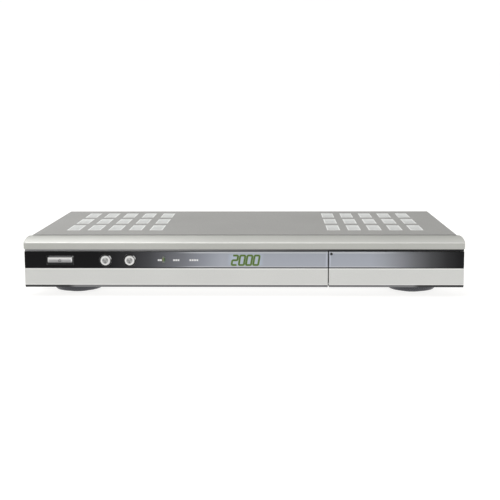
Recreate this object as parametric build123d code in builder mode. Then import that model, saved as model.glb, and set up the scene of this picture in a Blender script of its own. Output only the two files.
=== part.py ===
from build123d import *
import math
import os

# Slim satellite television receiver. Millimetres. X runs to the right as seen from the front, Y from
# the front to the rear, Z up. The origin is on the table, under the middle of the receiver.

os.makedirs("parts", exist_ok=True)

# ---- Case ----
overall_width = 430.0  # front bezel, end to end
cover_inset = 5.5  # sides of the cover in from the ends of the bezel
cover_depth = 200.0
cover_step = 0.5  # top of the cover above the rear edge of the bezel
sheet = 1.0  # steel of the tray, the cover and the rear panel
fold_radius = 1.6  # outside radius of the cover's folds
foot_height = 10.0  # underside of the tray above the table
tray_wall_height = 20.0
lip_height = 8.0  # folded lips of the cover and of the rear panel
side_screw_inset = 35.0  # from the front and rear edges of the cover
rear_screw_inset = 60.0  # from the sides of the cover
cover_screw_length = 5.0

# ---- Front mouldings ----
bezel_depth = 17.0
bezel_face = 6.5  # height of the upright front face
bezel_rise = 4.85  # rise of the sloped top towards the cover
bezel_crown = 0.7  # how far the slope bulges
bezel_corner_radius = 4.0
bezel_edge_radius = 0.9
bezel_shoulder = 4.6  # rounding of the upper corners, seen from the front
bezel_overhang = 3.0  # bezel in front of the panel below it
bezel_shadow = 2.85  # open groove under the bezel
wall = 2.0  # moulded wall
fascia_inset = 0.7  # ends of the fascia in from the ends of the bezel
fascia_drop = 1.0  # fascia below the underside of the tray
band_height = 19.0  # silver lower band
band_edge = 0.35  # bevel along the top of the band
band_bevel_height = 2.2  # bevel along its foot
band_bevel_depth = 1.4
rib_count = 6  # upright ribs behind the band
rib_thickness = 1.2
rib_depth = 5.0
window_groove = 0.5
window_height = 15.8
window_thickness = 1.2
window_edge = 0.35  # polished bevel round each window
door_gap = 1.0  # seam between the fixed window and the door

# ---- Clearances ----
fit_gap = 0.2  # between pieces that are fixed to each other
running_gap = 0.3  # round pieces that move
pin_gap = 0.05  # round a hinge pin

# ---- Card door ----
door_width = 131.0
door_thickness = 2.4
door_pin_radius = 1.25
door_pin_inset = 4.0  # pin axis behind the door's inner face
door_ear_radius = 2.6
door_ear_thickness = 2.0
catch_engagement = 2.0
catch_wall = 1.2
tongue_width = 6.0
tongue_thickness = 1.2
tongue_drop = 3.0  # below the top edge of the door
door_dot_radius = 1.0
door_dot_inset = 2.3

# ---- Buttons ----
button_travel = 0.8
button_proud = 1.0
button_flange = 1.2  # rim behind the panel that keeps a button in
button_flange_reach = 1.5
button_drop = 8.7  # centres below the top of the window
standby_width = 24.2
standby_height = 6.1
standby_inset = 34.7  # centre from the left end of the fascia
standby_edge = 0.5
standby_rim = 1.4  # raised rim round the sunk face
standby_recess = 0.3
round_button_radius = 4.75
round_button_edge = 0.8
dish_radius = 9.0  # sphere that hollows the face
dish_depth = 0.45
channel_down_inset = 79.4
channel_pitch = 23.7
ring_width = 1.3
ring_ledge = 0.25  # flat inside the bead
ring_crown = 0.45  # bead in front of the window
switch_size = 6.0
switch_height = 3.4
switch_corner = 0.6
switch_floor = 0.5
stem_radius = 1.6
lamp_inset = 136.4
lamp_width = 2.6
lamp_height = 6.6
lamp_corner = 0.6
lamp_proud = 0.1
lamp_raise = 0.8

# ---- Display ----
display_inset = 216.0  # centre of the digits from the left end of the fascia
display_width = 33.0
display_height = 13.4
display_drop = 0.6  # below the middle of the window
digit_height = 11.3
digit_width = 5.6
digit_pitch = 7.0
segment_width = 1.5
segment_gap = 0.25
segment_depth = 0.2
digit_slant = 10.0
receiver_offset = 38.0  # infrared receiver to the left of the digits
receiver_radius = 2.5
receiver_dome = 1.2
receiver_body_width = 6.0
receiver_body_height = 7.5
receiver_window_gap = 1.0

# ---- Cooling windows in the cover ----
vent_columns = 5
vent_rows = 3
vent_width = 13.3
vent_depth = 41.4
vent_pitch_x = 21.1
vent_pitch_y = 53.3
vent_side_margin = 28.0  # from the side of the cover to the outer column
vent_rear_margin = 18.6
grille_thickness = 1.0
grille_border = 5.0
grille_slat = 3.0
grille_slot = 3.0
tray_slot_length = 28.0
tray_slot_width = 3.0
tray_slot_pitch_x = 36.0
tray_slot_pitch_y = 9.0
tray_slot_inset = 62.0  # behind the front edge of the power supply

# ---- Boards ----
board_thickness = 1.6
board_lift = 5.0  # boards above the floor of the tray
board_margin = 6.0  # from the side walls of the tray
board_front_gap = 2.0  # from the front flange of the tray
board_rear_gap = 1.0  # from the rear panel
board_spacing = 11.6  # between the two boards
boss_radius = 3.0
psu_board_width = 104.0
psu_board_depth = 146.0
front_board_height = 30.0
front_board_margin = 7.6  # from the end wall of the fascia
front_board_gap = 1.0  # from the cheek of the card bay
screw_radius = 1.3
screw_hole_gap = 0.1
screw_head_radius = 2.8
screw_head_height = 1.8
screw_head_edge = 0.6
board_screw_inset = 5.0  # from the edges of a board
board_screw_setback = 55.0  # rear screws in front of the rear edge of the cover
screw_room = 8.0  # beside what stands on the front board
front_screw_raise = 3.0  # above the middle of the buttons

# ---- Card slots ----
card_width = 54.6  # inside width of a slot
card_height = 6.2  # inside height of a slot
card_depth = 90.0
cage_sheet = 1.0
cage_clearance = 1.0  # round the cage in the front flange of the tray
card_offset = 12.0  # cage to the left of the middle of the door
header_depth = 8.0
eject_cap = 5.0
eject_cap_edge = 0.5
eject_proud = 4.0
eject_rod_width = 3.0
eject_rod_height = 4.0
eject_rod_length = 70.0
guide_width = 7.0
guide_length = 40.0
guide_setback = 6.0  # behind the front ends of the rods

# ---- Rear connectors ----
connector_reach = 11.0  # tips of the aerial connectors behind the cover
aerial_radius = 4.76
aerial_collar = 5.2  # shoulder that the nut clamps
aerial_bore = 1.0
aerial_tip = 0.5
aerial_floor = 2.0
aerial_pitch = 28.0
nut_flats = 12.7
nut_height = 2.5
tuner_width = 56.0
tuner_depth = 46.0
tuner_height = 24.0
tuner_corner = 0.8
tuner_lid_inset = 1.5
tuner_lid_height = 0.6
trimmer_radius = 1.6
trimmer_depth = 1.2
trimmer_pitch_x = 16.0
trimmer_pitch_y = 20.0
socket_lift = 11.0  # middle of the scart and phono sockets above the board
scart_width = 45.0
scart_height = 13.0
scart_slant = 4.0
scart_wall = 1.5
scart_groove = 2.1
scart_proud = 1.5
scart_body_margin = 2.0
scart_body_depth = 30.0
scart_mouth_depth = 12.0
scart_core_length = 11.0
rca_radius = 4.15
rca_collar = 4.6  # root of each sleeve, in its hole
rca_tube = 0.85
rca_collar_proud = 0.5
rca_bore = 1.6
rca_reach = 9.0
rca_core_setback = 0.6
rca_pitch = 14.0
rca_count = 4
rca_block_depth = 12.0
rca_block_end = 6.0  # block beyond the outer sockets
serial_width = 17.0
serial_height = 8.4
serial_proud = 6.0
serial_corner = 1.8
serial_flare = 80.0  # slope of the shell's ends, in degrees
serial_lift = 8.0
serial_body_depth = 11.0
serial_flange_width = 31.0
serial_opening = 1.5  # round the shell
post_inset = 3.2  # jack posts in from the ends of the flange
post_flats = 4.8
post_length = 5.0
post_root = 3.0

# ---- Mains inlet and switch ----
inlet_inset = 20.0  # from the left edge of the power supply
inlet_lift = 10.0
inlet_width = 17.0
inlet_height = 9.2
inlet_depth = 14.0
inlet_wall = 2.6
inlet_corner = 1.5
inlet_proud = 1.0
inlet_pin_radius = 1.2
inlet_pin_pitch = 8.6
inlet_pin_setback = 2.0
inlet_pin_tail = 3.0
rocker_pitch = 34.0  # switch to the right of the inlet
rocker_lift = 12.0
rocker_radius = 8.4
rocker_width = 11.4
rocker_tilt = 12.0
rocker_setback = 4.0  # pivot behind the middle of the rocker's face
rocker_pin_radius = 1.25
rocker_frame = 1.6
rocker_flange = 1.5
rocker_corner = 1.0
rocker_body_wall = 1.3  # above and below the rocker
rocker_body_depth = 16.0

# ---- Power supply ----
primary_radius = 11.0
primary_height = 32.0
primary_inset_x = 22.0
primary_inset_y = 72.0
can_edge = 1.0  # rolled edge of a capacitor
transformer_inset_y = 40.0
bobbin_width = 32.0
bobbin_depth = 28.0
bobbin_height = 5.0
core_width = 28.0
core_depth = 16.0
core_height = 23.0
core_limb = 5.0
core_yoke = 6.0
winding_width = 18.0
winding_depth = 26.0
winding_corner = 6.0
sink_offset = 24.0  # heatsink to the right of the middle of the board
sink_inset_y = 24.0
sink_length = 50.0
sink_height = 28.0
sink_plate = 3.0
sink_fins = 7
sink_fin = 1.6
sink_fin_reach = 7.0
sink_fin_pitch = 7.0
transistor_width = 10.0
transistor_depth = 4.4
transistor_height = 16.0
transistor_lift = 4.0
filter_inset_x = 34.0
filter_inset_y = 100.0
filter_base_width = 22.0
filter_base_depth = 18.0
filter_base_height = 4.0
filter_base_corner = 2.0
filter_radius = 9.0
filter_bore = 4.0
filter_length = 14.0
fuse_inset_x = 66.0
fuse_inset_y = 100.0
fuse_radius = 2.6
fuse_length = 20.0
fuse_lift = 5.0
fuse_clip_width = 6.4
fuse_clip_length = 4.0
output_can_radius = 5.0
output_can_height = 20.0
output_can_pitch = 13.0
output_can_count = 4
output_can_inset_x = 17.0  # from the right edge of the power supply
output_can_inset_y = 88.0

# ---- Main board ----
processor_inset_x = 105.0
processor_inset_y = 86.0
processor_size = 28.0
chip_height = 2.2
memory_width = 11.0
memory_length = 20.0
memory_offset_x = 38.0
memory_offset_y = 12.0
codec_width = 18.0
codec_depth = 12.0
codec_offset_x = -8.0
codec_offset_y = 46.0
cooler_size = 34.0
cooler_base = 2.0
cooler_height = 10.0
cooler_fins = 9
cooler_fin = 1.6
logic_can_radius = 4.0
logic_can_height = 11.5
logic_can_pitch = 15.0
logic_can_count = 5
logic_can_inset_x = 16.0
logic_can_inset_y = 26.0

# ---- Internal cables ----
ribbon_width = 22.0
ribbon_thickness = 0.6
ribbon_radius = 4.0
ribbon_drop = 6.0  # below the middle of the buttons
ribbon_run = 12.0  # from the front edge of the main board to the header
header_margin = 2.0  # header beyond its cable
header_width = 5.0
header_height = 6.0
header_thickness = 2.8  # header on the front board
power_cable_width = 20.0
power_cable_thickness = 1.4
power_cable_radius = 8.0
power_cable_rise = 12.0
power_cable_inset_x = 8.0  # headers in from the facing edges of the boards
power_cable_inset_y = 30.0

# ---- Feet ----
foot_radius = 24.5
foot_inset_x = 41.0  # from the side of the cover
foot_setback = 1.0  # edge of the front feet behind the fascia
foot_inset_rear = 30.0  # from the rear edge of the cover
foot_waist = 2.0
foot_taper = 2.5  # how far the bowl draws in at its foot
pad_radius = 14.0
pad_thickness = 2.6
pad_proud = 1.8
pad_hole_gap = 1.0
foot_screw_radius = 1.6
foot_screw_end = 2.0  # beyond the floor of the tray

# ---- Levels and places that follow from the sizes above ----
front_y = -(bezel_depth + cover_depth + connector_reach) / 2
cover_front_y = front_y + bezel_depth
rear_y = cover_front_y + cover_depth
panel_outer_y = rear_y - sheet
panel_inner_y = panel_outer_y - sheet
fascia_y = front_y + bezel_overhang

fascia_bottom_z = foot_height - fascia_drop
band_top_z = fascia_bottom_z + band_height
window_bottom_z = band_top_z + window_groove
window_top_z = window_bottom_z + window_height
bezel_bottom_z = window_top_z + bezel_shadow
bezel_edge_z = bezel_bottom_z + bezel_face
bezel_back_z = bezel_edge_z + bezel_rise
cover_top_z = bezel_back_z + cover_step
cover_inner_z = cover_top_z - sheet
tray_floor_z = foot_height + sheet
board_bottom_z = tray_floor_z + board_lift
board_top_z = board_bottom_z + board_thickness

fascia_half = overall_width / 2 - fascia_inset
cover_half = overall_width / 2 - cover_inset
tray_half = cover_half - sheet - fit_gap
door_left_x = fascia_half - door_width
window_right_x = door_left_x - door_gap
web_front_y = fascia_y + window_thickness
web_back_y = web_front_y + wall
flange_y = web_front_y + wall / 2

button_z = window_top_z - button_drop
standby_x = standby_inset - fascia_half
channel_down_x = channel_down_inset - fascia_half
channel_up_x = channel_down_x + channel_pitch
lamp_x = lamp_inset - fascia_half
display_x = display_inset - fascia_half
display_z = (window_bottom_z + window_top_z) / 2 - display_drop
receiver_x = display_x - receiver_offset

flange_front_y = web_back_y + running_gap
flange_back_y = flange_front_y + button_flange
switch_front_y = flange_back_y + button_travel + fit_gap
front_board_y = switch_front_y + switch_height
front_board_back_y = front_board_y + board_thickness
front_board_bottom_z = fascia_bottom_z + wall + 2 * running_gap

door_inner_y = fascia_y + door_thickness
door_axis_y = door_inner_y + door_pin_inset
door_axis_z = fascia_bottom_z + door_pin_inset - running_gap
bay_wall_y = door_axis_y + door_ear_radius + 2 * fit_gap
bay_back_y = bay_wall_y + wall
cheek_reach = door_pin_inset - running_gap
tongue_z = window_top_z - tongue_drop
tongue_x = (door_left_x + fascia_half) / 2

card_x = (door_left_x + fascia_half) / 2 - card_offset
cage_front_y = bay_back_y + fit_gap
cage_back_y = cage_front_y + card_depth + header_depth
cage_half = card_width / 2 + cage_sheet
cage_top_z = board_top_z + 3 * cage_sheet + 2 * card_height
lower_slot_z = board_top_z + cage_sheet
upper_slot_z = lower_slot_z + card_height + cage_sheet
slot_middles = (lower_slot_z + card_height / 2, upper_slot_z + card_height / 2)
eject_x = card_x + cage_half + guide_width / 2
eject_front_y = bay_wall_y - eject_proud

vent_group_x = cover_half - vent_side_margin - vent_width / 2 - vent_pitch_x * (vent_columns - 1) / 2
vent_group_y = rear_y - vent_rear_margin - vent_depth / 2 - vent_pitch_y * (vent_rows - 1) / 2
grille_width = vent_pitch_x * (vent_columns - 1) + vent_width + 2 * grille_border
grille_depth = vent_pitch_y * (vent_rows - 1) + vent_depth + 2 * grille_border

board_rear_y = panel_inner_y - board_rear_gap
psu_left_x = board_margin - tray_half
psu_right_x = psu_left_x + psu_board_width
psu_middle_x = (psu_left_x + psu_right_x) / 2
psu_front_y = board_rear_y - psu_board_depth
main_left_x = psu_right_x + board_spacing
main_right_x = tray_half - board_margin
main_front_y = cover_front_y + sheet + board_front_gap

# The tuner and the sockets share out the rear edge of the main board evenly
scart_body_width = scart_width + 2 * scart_body_margin
rca_block_width = (rca_count - 1) * rca_pitch + 2 * rca_block_end
taken_width = tuner_width + 2 * scart_body_width + rca_block_width + serial_flange_width
rear_gap = (main_right_x - main_left_x - taken_width) / 6
tuner_x = main_right_x - rear_gap - tuner_width / 2
scart_tv_x = tuner_x - tuner_width / 2 - rear_gap - scart_body_width / 2
scart_recorder_x = scart_tv_x - scart_body_width - rear_gap
rca_x = scart_recorder_x - scart_body_width / 2 - rear_gap - rca_block_width / 2
serial_x = rca_x - rca_block_width / 2 - rear_gap - serial_flange_width / 2
aerial_places = [tuner_x - aerial_pitch / 2, tuner_x + aerial_pitch / 2]
rca_places = [rca_x + (i - (rca_count - 1) / 2) * rca_pitch for i in range(rca_count)]
serial_posts = [serial_x + side * (serial_flange_width / 2 - post_inset) for side in (-1, 1)]
aerial_z = board_top_z + tuner_height / 2
scart_z = board_top_z + socket_lift
rca_z = board_top_z + socket_lift
serial_z = board_top_z + serial_lift

inlet_x = psu_left_x + inlet_inset
inlet_z = board_top_z + inlet_lift
inlet_mouth_y = panel_outer_y + inlet_proud
rocker_x = inlet_x + rocker_pitch
rocker_z = board_top_z + rocker_lift
rocker_face_y = panel_outer_y + rocker_frame
rocker_axis_y = rocker_face_y - rocker_setback
rocker_body_width = rocker_width + 2 * running_gap + 2 * wall
rocker_opening = 2 * (rocker_radius + running_gap)
rocker_body_height = rocker_opening + 2 * rocker_body_wall

foot_x = cover_half - foot_inset_x
foot_front_y = cover_front_y + foot_setback + foot_radius
foot_rear_y = rear_y - foot_inset_rear
foot_places = [(side * foot_x, y) for side in (-1, 1) for y in (foot_front_y, foot_rear_y)]

side_screw_z = tray_floor_z + tray_wall_height / 2
side_screw_y = (cover_front_y + side_screw_inset, rear_y - side_screw_inset)
side_screws = [(y, side_screw_z) for y in side_screw_y]
rear_screw_z = cover_inner_z - lip_height / 2
rear_screw_x = (rear_screw_inset - cover_half, 0.0, cover_half - rear_screw_inset)
rear_screws = [(x, rear_screw_z) for x in rear_screw_x]
main_screws = [
    (x, y)
    for x in (
        main_left_x + board_screw_inset,
        card_x - cage_half - board_screw_inset,
        main_right_x - board_screw_inset,
    )
    for y in (main_front_y + board_screw_inset, rear_y - board_screw_setback)
]
psu_screws = [
    (x, y)
    for x in (psu_left_x + board_screw_inset, psu_right_x - board_screw_inset)
    for y in (psu_front_y + board_screw_inset, rear_y - board_screw_setback)
]
front_screw_x = [
    standby_x + standby_width / 2 + screw_room,
    (lamp_x + receiver_x) / 2,
    display_x + display_width / 2 + screw_room,
    window_right_x - 2 * screw_room,
]
front_screws = [(x, button_z + front_screw_raise) for x in front_screw_x]

ribbon_x = (front_screw_x[2] + front_screw_x[3]) / 2
ribbon_z = button_z - ribbon_drop
ribbon_down_y = main_front_y + ribbon_run
header_top_z = board_top_z + header_height
power_from_x = psu_right_x - power_cable_inset_x
power_to_x = main_left_x + power_cable_inset_x
power_y = psu_front_y + power_cable_inset_y


def facing(y, x=0.0, z=0.0):
    """Upright plane at depth y, drawn as seen from the front: its local axes are X and Z."""
    return Plane(origin=(x, y, z), x_dir=(1, 0, 0), z_dir=(0, -1, 0))


def span(x0, x1, y0, y1, mode=Mode.ADD):
    """Rectangle between two corners of the sketch being drawn."""
    with Locations(((x0 + x1) / 2, (y0 + y1) / 2)):
        Rectangle(abs(x1 - x0), abs(y1 - y0), mode=mode)


def block(x, y, z, mode=Mode.ADD):
    """Box between a low and a high limit on each axis."""
    with Locations(((x[0] + x[1]) / 2, (y[0] + y[1]) / 2, (z[0] + z[1]) / 2)):
        Box(x[1] - x[0], y[1] - y[0], z[1] - z[0], mode=mode)


# ==== Front bezel: a hollow silver nose with a crowned, sloping top ====
with BuildPart() as front_bezel:
    with BuildSketch(Plane.YZ):
        with BuildLine():
            Polyline(
                (front_y, bezel_edge_z),
                (front_y, bezel_bottom_z),
                (cover_front_y, bezel_bottom_z),
                (cover_front_y, bezel_back_z),
            )
            SagittaArc((cover_front_y, bezel_back_z), (front_y, bezel_edge_z), bezel_crown)
        make_face()
    extrude(amount=overall_width / 2, both=True)
    fillet(front_bezel.edges().filter_by(Axis.Z).group_by(Axis.Y)[0], bezel_corner_radius)
    nose_edge = front_bezel.edges().filter_by(Axis.X).group_by(Axis.Y)[0].sort_by(Axis.Z)[-1]
    fillet(nose_edge, bezel_edge_radius)
    # Rounds the upper corners, so that the slope runs down over both ends
    with BuildSketch(facing(front_y)):
        span(-overall_width / 2, overall_width / 2, bezel_bottom_z - bezel_shoulder, bezel_back_z)
        fillet(vertices().group_by(Axis.Y)[-1], bezel_shoulder)
    extrude(amount=-bezel_depth, mode=Mode.INTERSECT)
    with BuildSketch(Plane.YZ):
        with BuildLine():
            Polyline(
                (front_y + wall, bezel_edge_z - wall / 2),
                (front_y + wall, bezel_bottom_z + wall),
                (cover_front_y, bezel_bottom_z + wall),
                (cover_front_y, bezel_back_z - wall),
            )
            SagittaArc(
                (cover_front_y, bezel_back_z - wall),
                (front_y + wall, bezel_edge_z - wall / 2),
                bezel_crown,
            )
        make_face()
    extrude(amount=overall_width / 2 - wall, both=True, mode=Mode.SUBTRACT)
front_bezel.part.label = "front_bezel"


# ==== Front fascia: one moulding with the window seat on the left and the card bay on the right ====
def band_section():
    """Wall of the silver band in the sketch being drawn, bevelled along its top and its foot."""
    Polygon(
        (fascia_y, fascia_bottom_z + band_bevel_height),
        (fascia_y, band_top_z - band_edge),
        (fascia_y + band_edge, band_top_z),
        (fascia_y + wall, band_top_z),
        (fascia_y + wall, fascia_bottom_z),
        (fascia_y + band_bevel_depth, fascia_bottom_z),
        align=None,
    )


with BuildPart() as front_fascia:
    with BuildSketch(Plane.YZ.offset(-fascia_half)):
        band_section()
        span(fascia_y + wall, cover_front_y, fascia_bottom_z, fascia_bottom_z + wall)
        span(fascia_y + wall / 2, web_back_y, band_top_z - wall, band_top_z)
        span(web_front_y, web_back_y, band_top_z - wall, window_top_z)
        span(flange_y, web_back_y, window_top_z, bezel_bottom_z)
        span(flange_y, cover_front_y, bezel_bottom_z - wall, bezel_bottom_z)
    extrude(amount=window_right_x + fascia_half)
    # End wall on the left, and the cheek between the window and the card bay
    for end_x in (-fascia_half, window_right_x - wall):
        with BuildSketch(Plane.YZ.offset(end_x)):
            band_section()
            span(fascia_y + wall, cover_front_y, fascia_bottom_z, band_top_z)
            span(web_front_y, cover_front_y, fascia_bottom_z, window_top_z)
            span(flange_y, cover_front_y, fascia_bottom_z, bezel_bottom_z)
        extrude(amount=wall)
    # Upright ribs behind the band
    rib_pitch = (window_right_x + fascia_half) / (rib_count + 1)
    for rib in range(1, rib_count + 1):
        with BuildSketch(Plane.YZ.offset(rib * rib_pitch - fascia_half - rib_thickness / 2)):
            span(fascia_y + wall, fascia_y + wall + rib_depth, fascia_bottom_z + wall, band_top_z - wall)
        extrude(amount=rib_thickness)
    # Card bay: back wall with its bottom and top returns
    with BuildSketch(Plane.YZ.offset(window_right_x)):
        span(bay_wall_y, bay_back_y, fascia_bottom_z, bezel_bottom_z)
        span(bay_wall_y, cover_front_y, fascia_bottom_z, fascia_bottom_z + wall)
        span(flange_y, cover_front_y, bezel_bottom_z - wall, bezel_bottom_z)
    extrude(amount=fascia_half - window_right_x)
    # Right end wall, rounded round the door's pivot so that the door swings past it
    with BuildSketch(Plane.YZ.offset(fascia_half - wall)):
        span(door_axis_y - cheek_reach, cover_front_y, door_axis_z, bezel_bottom_z)
        span(door_axis_y, cover_front_y, fascia_bottom_z, bezel_bottom_z)
        with Locations((door_axis_y, door_axis_z)):
            Circle(cheek_reach)
    extrude(amount=wall)
    # Pivot holes of the door
    for hole_x in (window_right_x - wall, fascia_half - wall):
        with BuildSketch(Plane.YZ.offset(hole_x)):
            with Locations((door_axis_y, door_axis_z)):
                Circle(door_pin_radius + pin_gap)
        extrude(amount=wall, mode=Mode.SUBTRACT)
    # Openings in the web behind the window
    with BuildSketch(facing(web_front_y)):
        with Locations((standby_x, button_z)):
            Rectangle(standby_width + 2 * running_gap, standby_height + 2 * running_gap)
        with Locations((channel_down_x, button_z), (channel_up_x, button_z)):
            Circle(round_button_radius + running_gap)
        with Locations((lamp_x, button_z + lamp_raise)):
            Rectangle(lamp_width + 2 * fit_gap, lamp_height + 2 * fit_gap)
        with Locations((display_x, display_z)):
            Rectangle(display_width + 2 * fit_gap, display_height + 2 * fit_gap)
        with Locations((receiver_x, button_z)):
            Circle(receiver_radius + receiver_window_gap)
    extrude(amount=-wall, mode=Mode.SUBTRACT)
    # Openings in the card bay
    with BuildSketch(facing(bay_wall_y)):
        span(card_x - card_width / 2, card_x + card_width / 2, lower_slot_z, upper_slot_z + card_height)
        with Locations(*[(eject_x, z) for z in slot_middles]):
            Rectangle(eject_cap + 2 * running_gap, eject_cap + 2 * running_gap)
    extrude(amount=-wall, mode=Mode.SUBTRACT)
    # Bosses that carry the front board
    with BuildSketch(facing(web_back_y)):
        with Locations(*front_screws):
            Circle(boss_radius)
            Circle(screw_radius, mode=Mode.SUBTRACT)
    extrude(amount=web_back_y - front_board_y)
front_fascia.part.label = "front_fascia"

# ==== Display window: a dark acrylic strip set in the fascia ====
ring_reach = running_gap + ring_width  # window held back round each button
with BuildPart() as display_window:
    with BuildSketch(facing(fascia_y)):
        span(-fascia_half, window_right_x, window_bottom_z, window_top_z)
    extrude(amount=-window_thickness)
    chamfer(display_window.faces().sort_by(Axis.Y)[0].edges(), window_edge)
    with BuildSketch(facing(fascia_y)):
        with Locations((standby_x, button_z)):
            Rectangle(standby_width + 2 * ring_reach, standby_height + 2 * ring_reach)
        with Locations((channel_down_x, button_z), (channel_up_x, button_z)):
            Circle(round_button_radius + ring_reach)
        with Locations((lamp_x, button_z + lamp_raise)):
            Rectangle(lamp_width + 2 * fit_gap, lamp_height + 2 * fit_gap)
    extrude(amount=-window_thickness, mode=Mode.SUBTRACT)
display_window.part.label = "display_window"

# ==== Card door: a silver flap that swings down on two moulded pins ====
with BuildPart() as card_door:
    with BuildSketch(Plane.YZ.offset(door_left_x)):
        band_section()
        span(fascia_y + wall, door_inner_y, fascia_bottom_z, band_top_z)
        span(web_front_y, door_inner_y, band_top_z - wall, window_top_z)
    extrude(amount=door_width)
    # Ears, and the pins that stand out of them into the fascia
    ear_left_x = door_left_x + running_gap
    ear_right_x = fascia_half - wall - running_gap - door_ear_thickness
    for ear_x in (ear_left_x, ear_right_x):
        with BuildSketch(Plane.YZ.offset(ear_x)):
            span(door_inner_y, door_axis_y, door_axis_z - door_ear_radius, door_axis_z + door_ear_radius)
            with Locations((door_axis_y, door_axis_z)):
                Circle(door_ear_radius)
        extrude(amount=door_ear_thickness)
    pin_spans = (
        (window_right_x - wall + running_gap, ear_left_x),
        (ear_right_x + door_ear_thickness, fascia_half - running_gap),
    )
    for pin_start_x, pin_end_x in pin_spans:
        with BuildSketch(Plane.YZ.offset(pin_start_x)):
            with Locations((door_axis_y, door_axis_z)):
                Circle(door_pin_radius)
        extrude(amount=pin_end_x - pin_start_x)
    # Tongue of the catch
    with BuildSketch(facing(door_inner_y, tongue_x, tongue_z)):
        Rectangle(tongue_width, tongue_thickness)
    extrude(amount=door_inner_y - bay_wall_y + catch_wall + running_gap)
card_door.part.label = "card_door"

with BuildPart() as card_door_window:
    with BuildSketch(facing(fascia_y)):
        span(door_left_x, fascia_half, window_bottom_z, window_top_z)
    extrude(amount=-window_thickness)
    chamfer(card_door_window.faces().sort_by(Axis.Y)[0].edges(), window_edge)
    with BuildSketch(facing(fascia_y)):
        with Locations((door_left_x + door_dot_inset, window_top_z - door_dot_inset)):
            Circle(door_dot_radius)
    extrude(amount=-window_thickness, mode=Mode.SUBTRACT)
card_door_window.part.label = "card_door_window"

# ==== Door catch: a small sprung clip on the wall of the card bay ====
with BuildPart() as door_catch:
    jaw_gap = tongue_thickness / 2 + running_gap + fit_gap / 2
    jaw_outer = jaw_gap + catch_wall
    jaw_front_y = bay_wall_y - catch_wall - running_gap - catch_engagement
    with BuildSketch(Plane.YZ.offset(tongue_x - tongue_width / 2)):
        span(bay_wall_y - catch_wall, bay_wall_y, tongue_z - jaw_outer, tongue_z + jaw_outer)
        for side in (-1, 1):
            span(jaw_front_y, bay_wall_y, tongue_z + side * jaw_gap, tongue_z + side * jaw_outer)
    extrude(amount=tongue_width)
door_catch.part.label = "door_catch"


# ==== Buttons ====
def round_button(x):
    """Turned round key: rounded rim, dished centre, and a rim behind the panel that keeps it in."""
    with BuildPart() as button:
        with BuildSketch(facing(fascia_y - button_proud, x, button_z)):
            Circle(round_button_radius)
        extrude(amount=-(flange_front_y - fascia_y + button_proud))
        fillet(button.faces().sort_by(Axis.Y)[0].edges(), round_button_edge)
        with BuildSketch(facing(flange_front_y, x, button_z)):
            Circle(round_button_radius + button_flange_reach)
        extrude(amount=-button_flange)
        with Locations((x, fascia_y - button_proud - dish_radius + dish_depth, button_z)):
            Sphere(dish_radius, mode=Mode.SUBTRACT)
    return button


channel_down_button = round_button(channel_down_x)
channel_down_button.part.label = "channel_down_button"
channel_up_button = round_button(channel_up_x)
channel_up_button.part.label = "channel_up_button"

with BuildPart() as standby_button:
    with BuildSketch(facing(fascia_y - button_proud, standby_x, button_z)):
        Rectangle(standby_width, standby_height)
    extrude(amount=-(flange_front_y - fascia_y + button_proud))
    chamfer(standby_button.faces().sort_by(Axis.Y)[0].edges(), standby_edge)
    with BuildSketch(facing(fascia_y - button_proud, standby_x, button_z)):
        Rectangle(standby_width - 2 * standby_rim, standby_height - 2 * standby_rim)
    extrude(amount=-standby_recess, mode=Mode.SUBTRACT)
    with BuildSketch(facing(flange_front_y, standby_x, button_z)):
        Rectangle(standby_width + 2 * button_flange_reach, standby_height + 2 * button_flange_reach)
    extrude(amount=-button_flange)
standby_button.part.label = "standby_button"

# Trim round the keys: two beaded rings and a bevelled frame, pressed into the window
with BuildPart() as button_rings:
    ring_inner = round_button_radius + running_gap
    ring_outer = ring_inner + ring_width - fit_gap
    for ring_x in (channel_down_x, channel_up_x):
        with BuildSketch(Plane((ring_x, 0, button_z))):
            with BuildLine():
                Polyline(
                    (ring_inner + ring_ledge, fascia_y),
                    (ring_inner, fascia_y),
                    (ring_inner, web_front_y),
                    (ring_outer, web_front_y),
                    (ring_outer, fascia_y),
                )
                SagittaArc((ring_outer, fascia_y), (ring_inner + ring_ledge, fascia_y), ring_crown)
            make_face()
        revolve(axis=Axis((ring_x, 0, button_z), (0, 1, 0)))
    frame_reach = ring_reach - fit_gap
    with BuildSketch(facing(web_front_y, standby_x, button_z)):
        Rectangle(standby_width + 2 * frame_reach, standby_height + 2 * frame_reach)
        Rectangle(standby_width + 2 * running_gap, standby_height + 2 * running_gap, mode=Mode.SUBTRACT)
    extrude(amount=window_thickness + ring_crown)
    chamfer(button_rings.faces().sort_by(Axis.Y)[0].edges(), ring_crown)
button_rings.part.label = "button_rings"


# ==== Push switches on the front board: bodies, and the stems that move with the buttons ====
with BuildPart() as switch_bodies:
    for switch_x in (standby_x, channel_down_x, channel_up_x):
        with BuildSketch(facing(switch_front_y, switch_x, button_z)):
            RectangleRounded(switch_size, switch_size, switch_corner)
        extrude(amount=-switch_height)
        with BuildSketch(facing(switch_front_y, switch_x, button_z)):
            Circle(stem_radius + fit_gap)
        extrude(amount=-(switch_height - switch_floor), mode=Mode.SUBTRACT)
switch_bodies.part.label = "switch_bodies"


def switch_stem(x):
    """Round stem between a button and the dome of its switch."""
    with BuildPart() as stem:
        with BuildSketch(facing(flange_back_y, x, button_z)):
            Circle(stem_radius)
        extrude(amount=-(switch_height + fit_gap - switch_floor - running_gap))
    return stem


standby_switch_stem = switch_stem(standby_x)
standby_switch_stem.part.label = "standby_switch_stem"
channel_down_switch_stem = switch_stem(channel_down_x)
channel_down_switch_stem.part.label = "channel_down_switch_stem"
channel_up_switch_stem = switch_stem(channel_up_x)
channel_up_switch_stem.part.label = "channel_up_switch_stem"

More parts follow.
